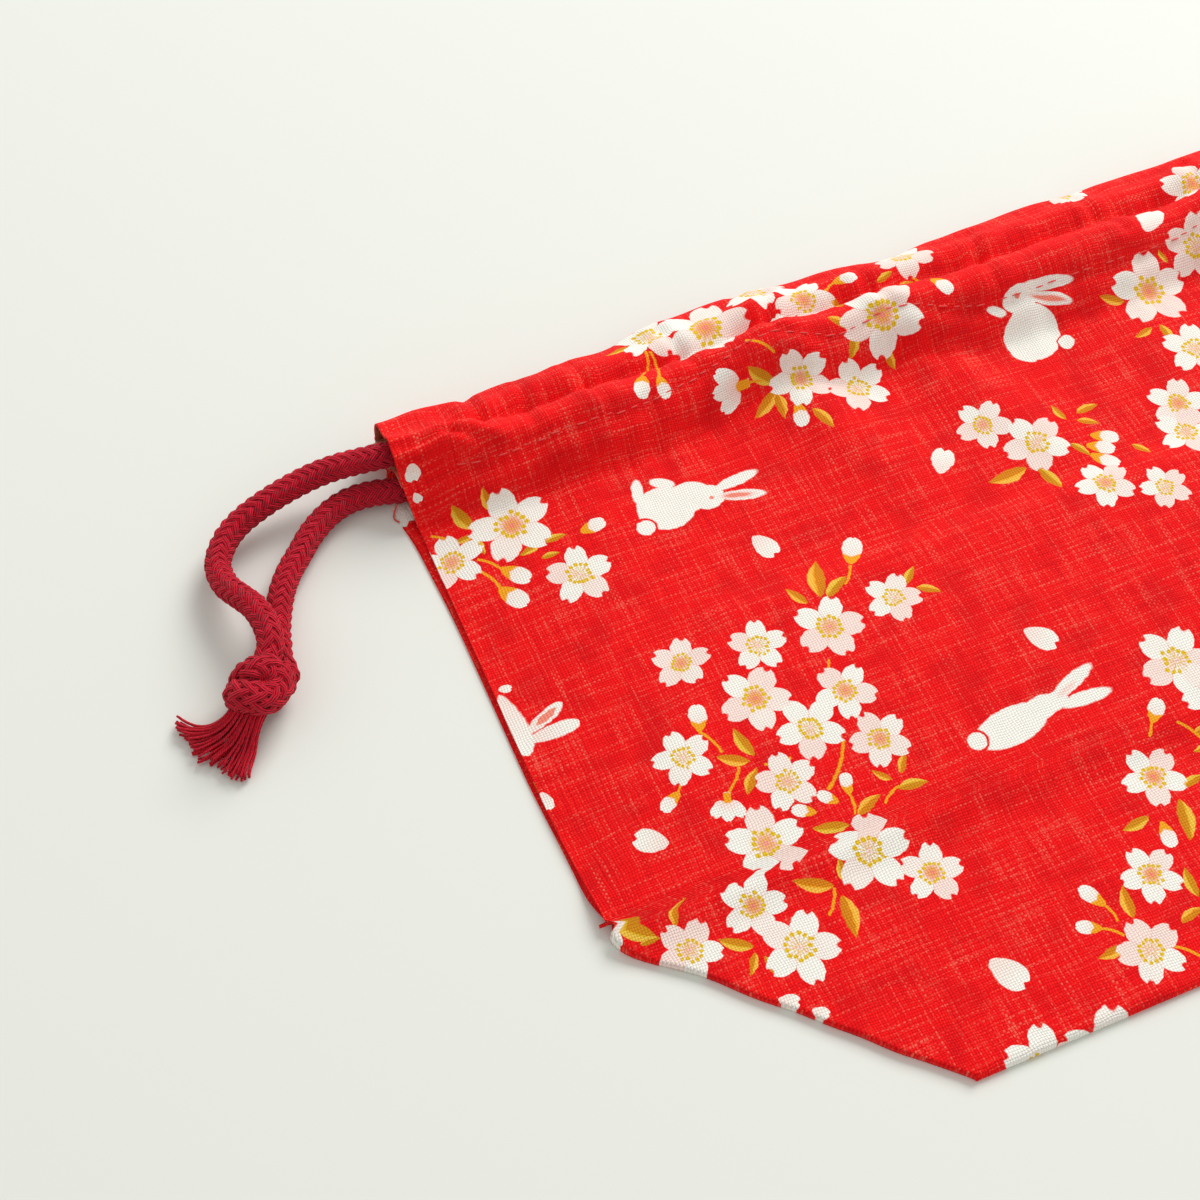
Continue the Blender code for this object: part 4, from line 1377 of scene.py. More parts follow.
@dataclass
class Drawstring:
    """The braided cord: two free strands, the run inside the casing, the knot and the frayed end."""

    braid: Braid = field(default_factory=Braid)
    knot: Knot = field(default_factory=Knot)
    fringe: Fringe = field(default_factory=Fringe)
    # Each finish holds a dark groove colour for painted shade and a lit colour for painted highlight.
    cord_finish: SpunFinish = SpunFinish(
        "crimson cord", from_srgb(44, 0, 8), from_srgb(204, 10, 40), from_srgb(238, 34, 62)
    )
    loose_finish: SpunFinish = SpunFinish(
        "crimson yarn ends", from_srgb(120, 2, 22), from_srgb(232, 16, 46), from_srgb(250, 46, 70)
    )
    # The knot's core is dark red: painted shade in the gaps between the knot's turns.
    knot_shade_finish: PlainFinish = PlainFinish("cord filling", from_srgb(96, 4, 22), 0.8)

    def build(self) -> None:
        """Builds every piece of the cord and hides the CAD node that each stands for."""
        finish, loose = self.cord_finish.build(), self.loose_finish.build()
        upper_route = [UPPER_END, *UPPER_STRAND, *FRONT_RUN[:3]]
        lower_route = [*BACK_RUN[-3:], *LOWER_STRAND, LOWER_END]
        upper, upper_line = self.braid.build("cord_upper", upper_route, finish)
        lower, lower_line = self.braid.build("cord_lower", lower_route, finish)
        for cord, line, leaves in ((upper, upper_line, FRONT_RUN[0]), (lower, lower_line, BACK_RUN[-1])):
            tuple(leaves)
            route_length(line)
            [tuple(point) for point in line]
            self.claim(cord, "drawstring")
        self.claim(self.hidden_run(finish), "drawstring")
        turns = [tuple(self.knot.frame @ Vector(point)) for point in self.knot.turns]
        knot, _ = self.braid.build("knot_turns", turns, finish, self.knot.squeeze)
        self.claim(knot, "knot")
        # The core's dark finish is painted shade that shows between the knot's turns.
        self.claim(self.knot_core(self.knot_shade_finish.build()), "knot")
        self.claim(self.fringe.build(loose), "tassel")

    @staticmethod
    def claim(piece: bpy.types.Object, node: str) -> None:
        """Parents a piece of the cord to the root and hides the CAD node that it stands for."""
        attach(piece, "root")
        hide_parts(node)

    def hidden_run(self, finish: bpy.types.Material) -> bpy.types.Object:
        """Returns the run inside the casings, which is never seen, as a plain tube."""
        bm = bmesh.new()
        line = Line(smooth_route([*FRONT_RUN[2:], *TURN, *BACK_RUN[:-2]], 0.003))
        add_tube(bm, line, CORD_DIAMETER / 2, 12, 0.003)
        close_tubes(bm)
        return object_from(bm, "cord_in_casing", [finish])

    def knot_core(self, finish: bpy.types.Material) -> bpy.types.Object:
        """Returns the core under the knot's turns, where the other strand runs; its dark red is painted shade
        in the gaps between the turns.
        """
        bm = bmesh.new()
        bmesh.ops.create_uvsphere(bm, u_segments=32, v_segments=20, radius=1.0)
        size = Matrix.Diagonal((*self.knot.core, 1.0))
        placed = self.knot.frame @ Matrix.Translation(self.knot.core_middle) @ size
        bmesh.ops.transform(bm, matrix=placed, verts=bm.verts)
        return object_from(bm, "knot_core", [finish])


@dataclass(frozen=True)
class Studio:
    """The camera at the photograph's angle, the pale floor and the soft light."""

    camera_place: Point = (-0.1988, -0.1756, 0.3341)
    camera_right: Point = (0.92214, -0.38683, 0.00391)
    camera_up: Point = (0.31882, 0.76567, 0.55867)
    lens_mm: float = 56.73
    sensor_mm: float = 36.0
    floor_finish: PlainFinish = PlainFinish("floor", (0.785, 0.80, 0.745, 1.0), 0.9)
    floor_reach: float = 3.0
    room_colour: Ink = (0.975, 0.975, 0.95, 1.0)
    room_strength: float = 0.63
    window_place: Point = (1.05, 0.9, 1.15)
    window_size: float = 1.0
    window_watts: float = 28.0

    @property
    def axes(self) -> tuple[Vector, Vector]:
        """The camera's right and its up, each of length 1."""
        return Vector(self.camera_right).normalized(), Vector(self.camera_up).normalized()

    @property
    def focal(self) -> float:
        """The focal length in the photograph's pixels."""
        return self.lens_mm / self.sensor_mm * PHOTO_WIDTH

    def ray(self, pixel: tuple[float, float]) -> tuple[Vector, Vector]:
        """Returns the origin and the direction of the camera's ray through a pixel of the photograph."""
        (right, up), focal = self.axes, self.focal
        ahead = up.cross(right)
        x, y = (pixel[0] - PHOTO_WIDTH / 2) / focal, (PHOTO_WIDTH / 2 - pixel[1]) / focal
        return Vector(self.camera_place), (ahead + right * x + up * y).normalized()

    def pixel(self, place: Vector) -> tuple[float, float]:
        """Returns the pixel of the photograph at which the camera sees a place."""
        (right, up), focal = self.axes, self.focal
        run = place - Vector(self.camera_place)
        depth = run.dot(up.cross(right))
        return PHOTO_WIDTH / 2 + focal * run.dot(right) / depth, PHOTO_WIDTH / 2 - focal * run.dot(up) / depth

    def add_camera(self) -> None:
        """Adds the camera and makes it the scene's."""
        data = bpy.data.cameras.new("camera")
        data.lens = self.lens_mm
        data.sensor_width = self.sensor_mm
        data.clip_start = 0.01
        camera = bpy.data.objects.new("camera", data)
        bpy.context.collection.objects.link(camera)
        right, up = self.axes
        turned = Matrix((right, up, right.cross(up))).transposed().to_4x4()
        camera.matrix_world = Matrix.Translation(self.camera_place) @ turned
        bpy.context.scene.camera = camera

    def add_floor(self) -> None:
        """Adds the pale floor."""
        bm = bmesh.new()
        bmesh.ops.create_grid(bm, x_segments=1, y_segments=1, size=self.floor_reach)
        floor = object_from(bm, "floor", [self.floor_finish.build()])

    def add_light(self, name: str, place: Point, size: float, watts: float) -> None:
        """Adds a square soft light that faces the bag.

        Args:
            name: The light's name.
            place: Where it stands.
            size: The length of its side, in metres.
            watts: Its power.
        """
        data = bpy.data.lights.new(name, "AREA")
        data.size = size
        data.energy = watts
        lamp = bpy.data.objects.new(name, data)
        bpy.context.collection.objects.link(lamp)
        lamp.location = place
        lamp.rotation_euler = (-Vector(place)).to_track_quat("-Z", "Y").to_euler()

    def build(self) -> None:
        """Sets up the view, the floor and the light."""
        scene = bpy.context.scene
        scene.view_settings.view_transform = "Standard"
        world = bpy.data.worlds.new("room")
        world.use_nodes = True
        background = world.node_tree.nodes["Background"]
        background.inputs["Color"].default_value = self.room_colour
        background.inputs["Strength"].default_value = self.room_strength
        scene.world = world
        self.add_camera()
        self.add_floor()
        self.add_light("window", self.window_place, self.window_size, self.window_watts)


@dataclass(frozen=True)
class PrintInks:
    """The colours of the print."""

    ground: Ink = from_srgb(255, 12, 14)
    # The deep red of thin threads and blotches, also used as painted shade in the gaps between threads
    deep_red_and_gap_shade: Ink = from_srgb(206, 0, 12)
    ground_light: Ink = from_srgb(255, 112, 92)
    white: Ink = from_srgb(250, 248, 238)
    blush: Ink = from_srgb(252, 222, 212)
    salmon: Ink = from_srgb(248, 142, 122)
    stamen: Ink = from_srgb(232, 192, 28)
    gold: Ink = from_srgb(246, 166, 30)
    gold_light: Ink = from_srgb(255, 208, 92)
    bronze: Ink = from_srgb(206, 118, 14)
    leaf_green: Ink = from_srgb(226, 180, 30)
    reverse: Ink = from_srgb(206, 150, 118)


MOTIF_INPUTS = {"Cloth": "NodeSocketVector", "Place": "NodeSocketVector", "Turn": "NodeSocketVector"}
MOTIF_OUTPUTS = {"Colour": "NodeSocketColor", "Mask": "NodeSocketFloat"}
EDGE = 0.045


# The rabbits as ovals: ink, middle along and beside, half length, half width, and turn in degrees
RABBIT_OVALS: dict[Motif, tuple[tuple[str, float, float, float, float, float], ...]] = {
    Motif.LEAPING_RABBIT: (
        ("fur", -0.52, -0.02, 0.44, 0.38, 4),
        ("fur", -0.12, 0.10, 0.34, 0.26, 0),
        ("fur", 0.14, 0.02, 0.24, 0.21, 20),
        ("fur", -0.86, 0.34, 0.22, 0.09, 80),
        ("fur", -0.46, 0.42, 0.19, 0.09, -20),
        ("fur", 0.62, 0.22, 0.36, 0.095, 14),
        ("fur", 0.64, -0.06, 0.34, 0.095, -8),
        ("blush", 0.58, -0.05, 0.28, 0.070, -8),
        ("salmon", 0.56, -0.045, 0.20, 0.040, -8),
        ("salmon", 0.18, 0.00, 0.035, 0.028, 0),
        ("tail", -0.90, -0.30, 0.14, 0.13, 0),
    ),
    Motif.SITTING_RABBIT: (
        ("fur", -0.34, 0.12, 0.60, 0.54, 0),
        ("fur", 0.24, 0.56, 0.34, 0.28, -50),
        ("fur", 0.70, 0.10, 0.52, 0.13, -66),
        ("fur", 0.42, 0.02, 0.50, 0.13, -82),
        ("fur", -0.12, 0.92, 0.20, 0.10, 90),
        ("fur", -0.88, 0.20, 0.24, 0.10, 80),
        ("blush", 0.42, 0.00, 0.40, 0.080, -82),
        ("salmon", 0.42, 0.00, 0.32, 0.050, -82),
        ("salmon", 0.28, 0.62, 0.050, 0.050, 0),
        ("tail", -0.36, -0.54, 0.16, 0.14, 0),
    ),
    Motif.RESTING_RABBIT: (
        ("fur", -0.38, -0.04, 0.52, 0.25, 6),
        ("fur", 0.06, 0.04, 0.30, 0.16, 10),
        ("fur", 0.28, 0.06, 0.20, 0.12, 10),
        ("fur", 0.62, 0.22, 0.38, 0.095, 20),
        ("fur", 0.68, -0.04, 0.36, 0.095, -2),
        ("blush", 0.52, 0.16, 0.16, 0.040, 20),
        ("tail", -0.88, -0.06, 0.12, 0.12, 0),
    ),
}


@dataclass
class PrintShop:
    """Makes the node groups that draw the print's motifs by formula, and the woven cotton under them."""

    inks: PrintInks = field(default_factory=PrintInks)
    thread_pitch: float = 0.00056
    hand_wobble: float = 0.0004
    petals: int = 5
    stamens: int = 14
    surface: Surface = Surface(0.65, 0.00022, 0.85, 0.03, 0.15)

    def motif_frame(self, graph: Graph, given: dict[str, Signal]) -> tuple[Signal, Signal, Signal]:
        """Turns the cloth's coordinates into a motif's own.

        Args:
            graph: The motif's group.
            given: The group's inputs: where the point lies, and the motif's place and turn.

        Returns:
            X from the motif's base at -1 to its tip at 1, Y across it, and 1 where a motif is near.
        """
        u, v, _ = graph.parts(given["Cloth"])
        middle_u, middle_v, _ = graph.parts(given["Place"])
        cosine, sine, _ = graph.parts(given["Turn"])
        wobble = (graph.noise(self.scaled(graph, given["Cloth"], 900.0)) - 0.5) * self.hand_wobble
        across, up = u - middle_u + wobble, v - middle_v - wobble
        x = across * cosine + up * sine
        y = up * cosine - across * sine
        return x, y, graph.math("GREATER_THAN", graph.hypot(cosine, sine), 1.0)

    @staticmethod
    def scaled(graph: Graph, vector: Signal, factor: float) -> Signal:
        """Returns a vector times a factor."""
        node = graph.node("ShaderNodeVectorMath", {0: vector, "Scale": factor}, operation="SCALE")
        return graph.read(node)

    def sector(self, graph: Graph, x: Signal, y: Signal, count: int) -> tuple[Signal, Signal, Signal]:
        """Folds the plane about its middle into equal sectors.

        Args:
            graph: The group.
            x: The first coordinate.
            y: The second one.
            count: How many sectors there are.

        Returns:
            The sector's number, the distance along its middle line, and the distance beside it.
        """
        share = graph.math("ARCTAN2", y, x) * (count / (2 * math.pi))
        number = graph.math("ROUND", share)
        turn = (share - number) * (2 * math.pi / count)
        radius = graph.hypot(x, y)
        return number, radius * graph.math("COSINE", turn), abs(radius * graph.math("SINE", turn))

    def petal_mask(
        self, graph: Graph, along: Signal, beside: Signal, middle: float, length: float, width: Value
    ) -> Signal:
        """Returns the mask of a petal that is round, with a notch in its tip."""
        round_part = 1.0 - graph.hypot((along - middle) / length, beside / width)
        end = middle + length
        notch = graph.mix(graph.step(0.0, 0.30, beside), end - 0.12, end + 0.20) - along
        return graph.step(-EDGE / 2, EDGE, graph.least(round_part, notch))

    def blossom(self) -> bpy.types.NodeTree:
        """Returns the group of an open five-petalled blossom with its stamens."""
        graph, given = Graph.group("blossom", MOTIF_INPUTS, MOTIF_OUTPUTS)
        x, y, near = self.motif_frame(graph, given)
        heart, seed = graph.parts(given["Place"])[2], graph.parts(given["Turn"])[2]
        number, along, beside = self.sector(graph, x, y, self.petals)
        chance = graph.random(number, seed)
        radius = graph.hypot(x, y)
        petal = self.petal_mask(graph, along, beside, 0.56, 0.44, 0.32 + chance * 0.06)
        mask = graph.most(petal, graph.step(0.36, 0.30, radius))
        colour = graph.blend(graph.step(0.35, 0.75, chance) * 0.85, self.inks.white, self.inks.blush)
        flush = graph.step(0.62, 0.05, radius)
        colour = graph.blend(flush * (0.15 + heart * 0.5), colour, self.inks.blush)
        colour = graph.blend(graph.step(0.34, 0.10, radius) * heart, colour, self.inks.salmon)
        seam = graph.step(0.030, 0.0, graph.math("ABSOLUTE", beside - along * 0.72))
        seam = seam * graph.step(0.75, 0.2, radius)
        colour = graph.blend(seam * 0.5, colour, self.inks.salmon)
        stamen, out, side = self.sector(graph, x, y, self.stamens)
        reach = 0.24 + graph.random(stamen, seed + 7.0) * 0.14
        dot = graph.step(0.078, 0.045, graph.hypot(out - reach, side))
        thread = graph.step(0.022, 0.008, side) * graph.step(0.06, 0.09, out)
        thread = thread * graph.step(0.0, -0.02, out - reach)
        colour = graph.blend(graph.most(dot, thread * 0.7), colour, self.inks.stamen)
        return graph.give({"Colour": colour, "Mask": mask * near})

    def sprig(self) -> bpy.types.NodeTree:
        """Returns the group of the small motifs: a loose petal, a bud, a leaf or a stem."""
        graph, given = Graph.group("sprig", MOTIF_INPUTS, MOTIF_OUTPUTS)
        x, y, near = self.motif_frame(graph, given)
        kind, seed = graph.parts(given["Place"])[2], graph.parts(given["Turn"])[2]
        cosine, sine, _ = graph.parts(given["Turn"])
        bent = y - graph.pick(kind, (0.0, 0.0, 0.10, 0.14)) * (1.0 - x * x)
        fullness = graph.math("POWER", graph.most(1.0 - x * x, 0.0), graph.pick(kind, (0.55, 0.5, 0.95, 0.1)))
        width = fullness * graph.pick(kind, (0.66, 0.52, 0.35, 0.0))
        width = width * (1.0 + x * graph.pick(kind, (0.28, 0.30, -0.2, 0.0)))
        width = width + graph.math("GREATER_THAN", kind, Motif.STEM.value - 0.5) * (
            0.00026 * graph.hypot(cosine, sine) * graph.math("GREATER_THAN", 1.0 - x * x, 0.0)
        )
        limb, ear = graph.math("LESS_THAN", kind, -0.5), graph.math("LESS_THAN", kind, -1.5)
        width = width * (1.0 - limb * 0.56)
        notch = graph.pick(kind, (0.74, 0.90, 9.0, 9.0)) + limb + abs(y) * 0.9 - x
        ends = (1.0 - x * x) * 1.5 + EDGE / 2
        mask = graph.step(-EDGE, EDGE / 2, graph.least(width - abs(bent), notch, ends))
        white = graph.blend(graph.step(1.0, -1.0, x) * 0.7, self.inks.white, self.inks.blush)
        inner = graph.hypot((x - 0.15) / 0.55, y / 0.17)
        white = graph.blend(graph.step(1.1, 0.8, inner) * ear, white, self.inks.salmon)
        calyx = graph.step(-0.30, -0.46, x - abs(y) * 0.5) * graph.pick(kind, (0.0, 1.0, 0.0, 0.0))
        white = graph.blend(calyx, white, self.inks.gold)
        shade = graph.step(0.35, 0.75, graph.random(seed, seed + 3.0))
        leaf = graph.blend(shade, self.inks.gold, self.inks.leaf_green)
        leaf = graph.blend(graph.step(0.12, -0.12, bent) * 0.75, leaf, self.inks.bronze)
        leaf = graph.blend(graph.step(0.05, 0.16, bent) * 0.55, leaf, self.inks.gold_light)
        leaf = graph.blend(graph.step(0.055, 0.02, abs(bent)) * 0.6, leaf, self.inks.bronze)
        colour = graph.blend(graph.math("GREATER_THAN", kind, Motif.LEAF.value - 0.5), white, leaf)
        colour = graph.blend(graph.math("GREATER_THAN", kind, Motif.STEM.value - 0.5), colour, self.inks.gold)
        return graph.give({"Colour": colour, "Mask": mask * near})

    def side_blossom(self) -> bpy.types.NodeTree:
        """Returns the group of a half-open blossom seen from its side."""
        graph, given = Graph.group("side blossom", MOTIF_INPUTS, MOTIF_OUTPUTS)
        x, y, near = self.motif_frame(graph, given)
        from_base = x + 0.9
        share = graph.math("ARCTAN2", y, from_base) / 0.66
        number = graph.most(graph.least(graph.math("ROUND", share), 1.0), -1.0)
        turn = (share - number) * 0.66
        radius = graph.hypot(from_base, y)
        along, beside = radius * graph.math("COSINE", turn), abs(radius * graph.math("SINE", turn))
        mask = self.petal_mask(graph, along, beside, 1.1, 0.78, 0.50)
        calyx = graph.step(0.50, 0.38, radius)
        mask = graph.most(mask, graph.step(0.50, 0.44, radius) * graph.step(0.30, 0.24, abs(y)))
        colour = graph.blend(graph.step(0.3, 1.4, along), self.inks.blush, self.inks.white)
        colour = graph.blend(calyx, colour, self.inks.gold)
        return graph.give({"Colour": colour, "Mask": mask * near})

    def rabbit(self, motif: Motif) -> bpy.types.NodeTree:
        """Returns the group of a plain rabbit, made of ovals.

        Args:
            motif: Which of the rabbits it is.
        """
        graph, given = Graph.group(motif.name.lower(), MOTIF_INPUTS, MOTIF_OUTPUTS)
        x, y, near = self.motif_frame(graph, given)
        depths: dict[str, list[Signal]] = {}
        for ink, along, beside, length, width, degrees in RABBIT_OVALS[motif]:
            turn = math.radians(degrees)
            across, up = x - along, y - beside
            run = across * math.cos(turn) + up * math.sin(turn)
            off = up * math.cos(turn) - across * math.sin(turn)
            depths.setdefault(ink, []).append((1.0 - graph.hypot(run / length, off / width)) * width)
        tail = graph.most(*depths["tail"])
        outline = graph.step(-0.05, -0.03, tail) * graph.step(0.0, -0.012, tail)
        fur = graph.step(-0.010, 0.012, graph.most(*depths["fur"]))
        mask = graph.most(fur * (1.0 - outline), graph.step(-0.010, 0.012, tail))
        blush = graph.step(-0.02, 0.02, graph.most(*depths["blush"]))
        colour = graph.blend(blush, self.inks.white, self.inks.blush)
        if "salmon" in depths:
            salmon = graph.step(-0.012, 0.012, graph.most(*depths["salmon"]))
            colour = graph.blend(salmon, colour, self.inks.salmon)
        return graph.give({"Colour": colour, "Mask": mask * near})

    def weave(self) -> bpy.types.NodeTree:
        """Returns the group of plain-woven slub cotton: its relief, painted shade in the gaps between its
        threads, and its uneven threads.
        """
        outputs = {"Height": "NodeSocketFloat", "Gap": "NodeSocketFloat", "Slub": "NodeSocketFloat"}
        graph, given = Graph.group("plain weave", {"Cloth": "NodeSocketVector"}, outputs)
        u, v, _ = graph.parts(given["Cloth"])
        drift = (graph.noise(self.scaled(graph, given["Cloth"], 260.0)) - 0.5) * 1.6
        warp, weft = u / self.thread_pitch + drift, v / self.thread_pitch + drift
        warp_wave, weft_wave = graph.math("SINE", warp * math.pi), graph.math("SINE", weft * math.pi)
        warp_over = graph.step(-0.12, 0.12, warp_wave * weft_wave)
        warp_round, weft_round = abs(warp_wave), abs(weft_wave)
        over = graph.math("POWER", warp_round, 0.8) * graph.math("POWER", weft_round, 0.35)
        under = graph.math("POWER", weft_round, 0.8) * graph.math("POWER", warp_round, 0.35)
        height = graph.mix(warp_over, under, over)
        warp_slub = graph.noise(graph.vector(u * 1500.0, v * 70.0, 4.0), 2.0)
        weft_slub = graph.noise(graph.vector(u * 70.0, v * 1500.0, 9.0), 2.0)
        slub = graph.mix(warp_over, weft_slub, warp_slub)
        # Painted shade: the low places between the threads.
        gap_shade = graph.step(0.75, 0.25, height)
        relief = height * (0.7 + slub * 0.6)
        return graph.give({"Height": relief, "Gap": gap_shade, "Slub": slub})

    def printed_cotton(
        self, layers: Sequence[tuple[str, bpy.types.NodeTree]], name: str
    ) -> bpy.types.Material:
        """Makes the front face of the cloth: the red ground, every motif layer, and the weave with painted
        shade in its gaps.

        Args:
            layers: Each layer's attribute name and the group that draws it, from the lowest up.
            name: The material's name.

        Returns:
            The material.
        """
        material, graph = new_material(name)
        cloth = graph.read(graph.node("ShaderNodeUVMap", uv_map="Cloth"), "UV")
        weave = graph.use(self.weave(), {"Cloth": cloth})
        slub = graph.read(weave, "Slub")
        blotch = graph.noise(self.scaled(graph, cloth, 110.0), 3.0)
        colour = graph.blend(graph.step(0.50, 0.72, slub) * 0.75, self.inks.ground, self.inks.ground_light)
        colour = graph.blend(graph.step(0.50, 0.24, slub) * 0.9, colour, self.inks.deep_red_and_gap_shade)
        colour = graph.blend(graph.step(0.55, 0.30, blotch) * 0.45, colour, self.inks.deep_red_and_gap_shade)
        # Painted shade in the gaps between the threads darkens the ground.
        colour = graph.blend(graph.read(weave, "Gap") * 0.45, colour, self.inks.deep_red_and_gap_shade)
        for layer, group in layers:
            place = graph.node("ShaderNodeAttribute", attribute_name=f"{layer}_place")
            turn = graph.node("ShaderNodeAttribute", attribute_name=f"{layer}_turn")
            mark = {"Place": graph.read(place, "Vector"), "Turn": graph.read(turn, "Vector")}
            drawn = graph.use(group, {"Cloth": cloth, **mark})
            colour = graph.blend(graph.read(drawn, "Mask"), colour, graph.read(drawn, "Colour"))
        # A little painted shade in the thread gaps also darkens the print.
        colour = graph.blend(graph.read(weave, "Gap") * 0.06, colour, self.inks.deep_red_and_gap_shade)
        self.surface.finish(graph, colour, graph.read(weave, "Height"))
        return material

    def plain_cotton(self, name: str) -> bpy.types.Material:
        """Makes the paler reverse of the cloth."""
        material, graph = new_material(name)
        cloth = graph.read(graph.node("ShaderNodeUVMap", uv_map="Cloth"), "UV")
        weave = graph.use(self.weave(), {"Cloth": cloth})
        colour = graph.blend(graph.read(weave, "Slub") * 0.5, self.inks.reverse, self.inks.ground_light)
        self.surface.finish(graph, colour, graph.read(weave, "Height"))
        return material


@dataclass(frozen=True)
class Printed:
    """One motif's place on the flat cloth."""

    motif: Motif
    middle: Vector
    turn: float
    size: float
    value: float

    def moved(self, shift: tuple[float, float]) -> Printed:
        """Returns the same motif elsewhere on the cloth."""
        return replace(self, middle=self.middle + Vector(shift))


@dataclass
class Printer:
    """Prints the motifs on both panels, where the photograph's camera sees them, and repeats the design."""

    camera: Studio
    panels: dict[str, tuple[Panel, bmesh.types.BMesh]]
    layer_counts: dict[str, int] = field(
        default_factory=lambda: {
            "sprig": 4,
            "side_blossom": 1,
            "blossom": 3,
            "leaping_rabbit": 1,
            "sitting_rabbit": 1,
            "resting_rabbit": 1,
        }
    )
    reach: float = 0.0014
    clearance: float = 0.84
    edge_margin: float = 0.004
    most_stretch: float = 1.6
    # Width of the back's strip at the bag's left edge that is kept plain as painted shade
    shaded_plain_strip: float = 0.006

    def layer_names(self) -> list[str]:
        """Returns the attribute names of every layer, from the lowest up."""
        return [f"{family}_{i}" for family, count in self.layer_counts.items() for i in range(count)]

    @staticmethod
    def family(motif: Motif) -> str:
        """Returns the family of layers that draws a motif."""
        return "sprig" if motif.value <= Motif.STEM.value else motif.name.lower()

    @cached_property
    def trees(self) -> dict[str, BVHTree]:
        """Each panel as a search tree for rays."""
        return {name: BVHTree.FromBMesh(bm) for name, (_, bm) in self.panels.items()}

    def on_cloth(self, pixel: tuple[float, float]) -> tuple[str, Vector] | None:
        """Finds where the camera sees a pixel on the cloth.

        Args:
            pixel: The place in the photograph.

        Returns:
            The panel's name and the place on its flat cloth, or None where no cloth is seen.
        """
        origin, direction = self.camera.ray(pixel)
        hits = []
        for name, tree in self.trees.items():
            place, _, index, distance = tree.ray_cast(origin, direction)
            if place is not None:
                hits.append((distance, name, place, index))
        if not hits:
            return None
        _, name, place, index = min(hits)
        bm = self.panels[name][1]
        bm.faces.ensure_lookup_table()
        loops = bm.faces[index].loops[:3]
        uv_layer = bm.loops.layers.uv["Cloth"]
        flat = [loop[uv_layer].uv.to_3d() for loop in loops]
        corners = [loop.vert.co for loop in loops]
        return name, barycentric_transform(place, *corners, *flat).to_2d()

    def beside_cloth(self, pixel: tuple[float, float]) -> Vector:
        """Returns where a pixel off the cloth would lie on the front's flat cloth, if that went on."""
        origin, direction = self.camera.ray(pixel)
        place = origin + direction * ((0.003 - origin.z) / direction.z)
        return Vector((place.x, place.y + MOUTH))

    def read_marks(self) -> dict[str, list[Printed]]:
        """Returns the motifs that the photograph shows, by panel."""
        found: dict[str, list[Printed]] = {name: [] for name in self.panels}
        for i, (x, y, width, heart) in enumerate(BLOSSOM_MARKS):
            seen = self.on_cloth((x, y))
            if seen:
                size = width / WIDTH_OVER_SIZE
                found[seen[0]].append(Printed(Motif.BLOSSOM, seen[1], 2.4 * i, size, heart))
        for motif, marks in LINE_MARKS.items():
            for x0, y0, x1, y1 in marks:
                tip = self.on_cloth((x1, y1))
                if not tip:
                    continue
                base = self.on_cloth((x0, y0))
                if not base or base[0] != tip[0]:
                    base = tip[0], self.beside_cloth((x0, y0))
                straight = self.beside_cloth((x1, y1)) - self.beside_cloth((x0, y0))
                run = tip[1] - base[1]
                if run.length > self.most_stretch * straight.length:
                    run = Vector((self.panels[tip[0]][0].way * straight.x, straight.y))
                middle = tip[1] - run / 2
                turn = math.atan2(run.y, run.x)
                found[base[0]].append(Printed(motif, middle, turn, run.length / 2, motif.value))
        return found

    def design(self) -> dict[str, list[Printed]]:
        """Returns every motif of each panel: the seen ones, then the repeats where there is room."""
        seen = self.read_marks()
        source = list(seen["cloth_front"])
        for name, placed in seen.items():
            bottom, top = self.extent(name)
            for shift in REPEATS:
                if name == "cloth_front" and shift == (0.0, 0.0):
                    continue
                before = [p for p in placed if p.motif is not Motif.STEM]
                for motif in source:
                    copy = motif.moved(shift)
                    inside = abs(copy.middle.x) < SIDE + self.edge_margin and bottom < copy.middle.y < top
                    # On the back, the strip along the bag's left edge gets no repeats; its plain red ground,
                    # without light motifs, is painted shade for that strip.
                    on_shaded_strip = name == "cloth_back" and copy.middle.x + copy.size > SIDE - self.shaded_plain_strip
                    if not inside or on_shaded_strip or (name == "cloth_front" and self.in_photograph(copy.middle)):
                        continue
                    room = [self.clearance * (p.size + copy.size) for p in before]
                    if all((p.middle - copy.middle).length > r for p, r in zip(before, room)):
                        placed.append(copy)
        return seen

    def extent(self, name: str) -> tuple[float, float]:
        """Returns the lowest and highest flat-cloth height of a panel."""
        bm = self.panels[name][1]
        uv_layer = bm.loops.layers.uv["Cloth"]
        heights = [loop[uv_layer].uv.y for face in bm.faces for loop in face.loops]
        return min(heights), max(heights)

    def in_photograph(self, middle: Vector) -> bool:
        """Says whether the photograph shows this place of the front's flat cloth."""
        if not -0.002 < middle.y < 0.190:
            return False
        return self.camera.pixel(Vector((middle.x, middle.y - MOUTH, 0.003)))[0] < PHOTO_WIDTH - 6

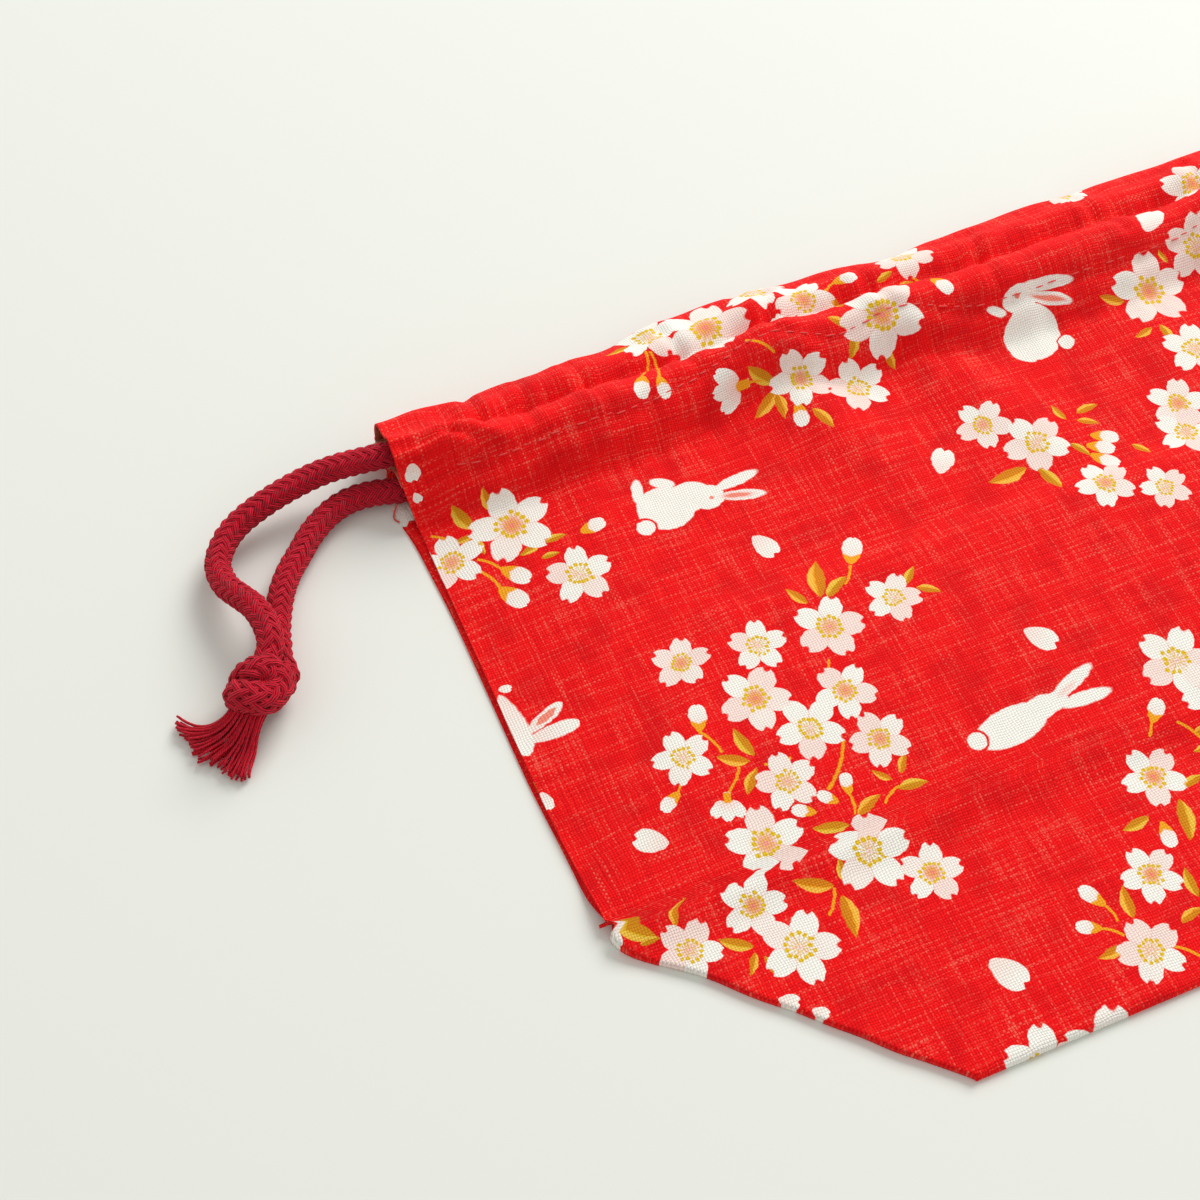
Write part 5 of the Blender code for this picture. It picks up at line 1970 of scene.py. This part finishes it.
    def print_panel(self, name: str, motifs: list[Printed]) -> None:
        """Writes each motif's place and turn on the faces near it.

        Args:
            name: The panel's name.
            motifs: What is printed on it.
        """
        bm = self.panels[name][1]
        bm.faces.ensure_lookup_table()
        uv_layer = bm.loops.layers.uv["Cloth"]
        vectors = bm.faces.layers.float_vector
        names = self.layer_names()
        layers = {layer: (vectors.new(f"{layer}_place"), vectors.new(f"{layer}_turn")) for layer in names}
        bm.faces.ensure_lookup_table()
        tree = KDTree(len(bm.faces))
        for face in bm.faces:
            middle = sum((loop[uv_layer].uv for loop in face.loops), Vector((0, 0))) / len(face.loops)
            tree.insert(middle.to_3d(), face.index)
        tree.balance()
        taken: dict[str, set[int]] = {layer: set() for layer in layers}
        dropped = 0
        for number, motif in enumerate(motifs):
            found = tree.find_range(motif.middle.to_3d(), motif.size * 1.05 + self.reach)
            near = {index for _, index, _ in found}
            family = self.family(motif.motif)
            own = [layer for layer in layers if layer.rsplit("_", 1)[0] == family]
            free = [layer for layer in own if not taken[layer] & near]
            if not free or not near:
                dropped += 1
                continue
            taken[free[0]] |= near
            place, turn = layers[free[0]]
            share = 1 / motif.size
            for index in near:
                face = bm.faces[index]
                face[place] = (motif.middle.x, motif.middle.y, motif.value)
                face[turn] = (math.cos(motif.turn) * share, math.sin(motif.turn) * share, number % 97 + 0.5)
        LOG.info("%s: %d motifs printed, %d without room", name, len(motifs) - dropped, dropped)


@dataclass
class Bag:
    """The two printed panels with their thickness, and the stitches of the front's hem."""

    tailor: Tailor = field(default_factory=Tailor)
    shop: PrintShop = field(default_factory=PrintShop)
    stitch_pitch: float = 0.0031
    stitch_length: float = 0.0025
    stitch_radius: float = 0.00019
    flat_size: tuple[float, float] = (0.280, 0.2645)
    flat_area: float = 0.0685
    thread: PlainFinish = PlainFinish("pink thread", from_srgb(226, 74, 70), 0.7)
    first_stitch: float = 0.002
    stitch_inset: float = 0.0012

    def build(self, camera: Studio) -> None:
        """Folds, prints and thickens both panels, then adds the stitches of the front's hem.

        Args:
            camera: The studio whose camera sees the print.
        """
        panels = {panel.name: (panel, panel.fold()) for panel in (self.tailor.front(), self.tailor.back())}
        printer = Printer(camera, panels)
        for name, motifs in printer.design().items():
            printer.print_panel(name, motifs)
        groups = {
            "sprig": self.shop.sprig(),
            "side_blossom": self.shop.side_blossom(),
            "blossom": self.shop.blossom(),
            **{motif.name.lower(): self.shop.rabbit(motif) for motif in RABBIT_OVALS},
        }
        layers = [(layer, groups[layer.rsplit("_", 1)[0]]) for layer in printer.layer_names()]
        face = self.shop.printed_cotton(layers, "printed cotton")
        reverse = self.shop.plain_cotton("cotton reverse")
        for name, node in (("cloth_front", "front_panel"), ("cloth_back", "back_panel")):
            sheet = object_from(panels[name][1], name, [face, reverse, face, face])
            thickness = sheet.modifiers.new("Cloth thickness", "SOLIDIFY")
            thickness.thickness = CLOTH
            thickness.offset = 0.0
            thickness.use_even_offset = True
            thickness.material_offset = 1
            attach(sheet, "root")
            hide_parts(node)
        stitches = self.sew()

    def sew(self) -> bpy.types.Object:
        """Adds the stitches that hold the front's hem.

        Returns:
            The row of stitches.
        """
        lay = self.tailor.lay
        bm = bmesh.new()
        count = int((2 * FRONT_SIDE - self.first_stitch) / self.stitch_pitch)
        for i in range(count):
            x = -FRONT_SIDE + self.first_stitch + self.stitch_pitch * i
            y = lay.stitch_line(x) + self.stitch_inset
            slope = (lay.stitch_line(x + 0.001) - lay.stitch_line(x - 0.001)) / 0.002
            level = lay.front_level(x, y) + lay.ripple(x, y) + lay.lift(x, y) + CLOTH / 2
            made = bmesh.ops.create_uvsphere(bm, u_segments=8, v_segments=6, radius=1.0)["verts"]
            size = Matrix.Diagonal((self.stitch_length / 2, self.stitch_radius, self.stitch_radius, 1.0))
            turned = Matrix.Rotation(math.atan(slope) + 0.06 * math.sin(7.3 * i), 4, "Z")
            place = Matrix.Translation((x, y + 0.0002 * math.sin(4.1 * i), level + 0.00004))
            bmesh.ops.transform(bm, matrix=place @ turned @ size, verts=made)
        add_tube(bm, Line(smooth_route(LOOSE_THREAD, 0.0005)), self.stitch_radius, 6, 0.0005)
        piece = object_from(bm, "hem_stitches", [self.thread.build()])
        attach(piece, "root")
        return piece


def main() -> None:
    """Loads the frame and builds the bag's pieces in order."""
    logging.basicConfig(level=logging.INFO, format="%(message)s")
    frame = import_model()
    LOG.info("frame nodes: %s", ", ".join(sorted(frame["nodes"])))
    studio = Studio()
    studio.build()
    Bag().build(studio)
    Drawstring().build()


if __name__ == "__main__":
    main()
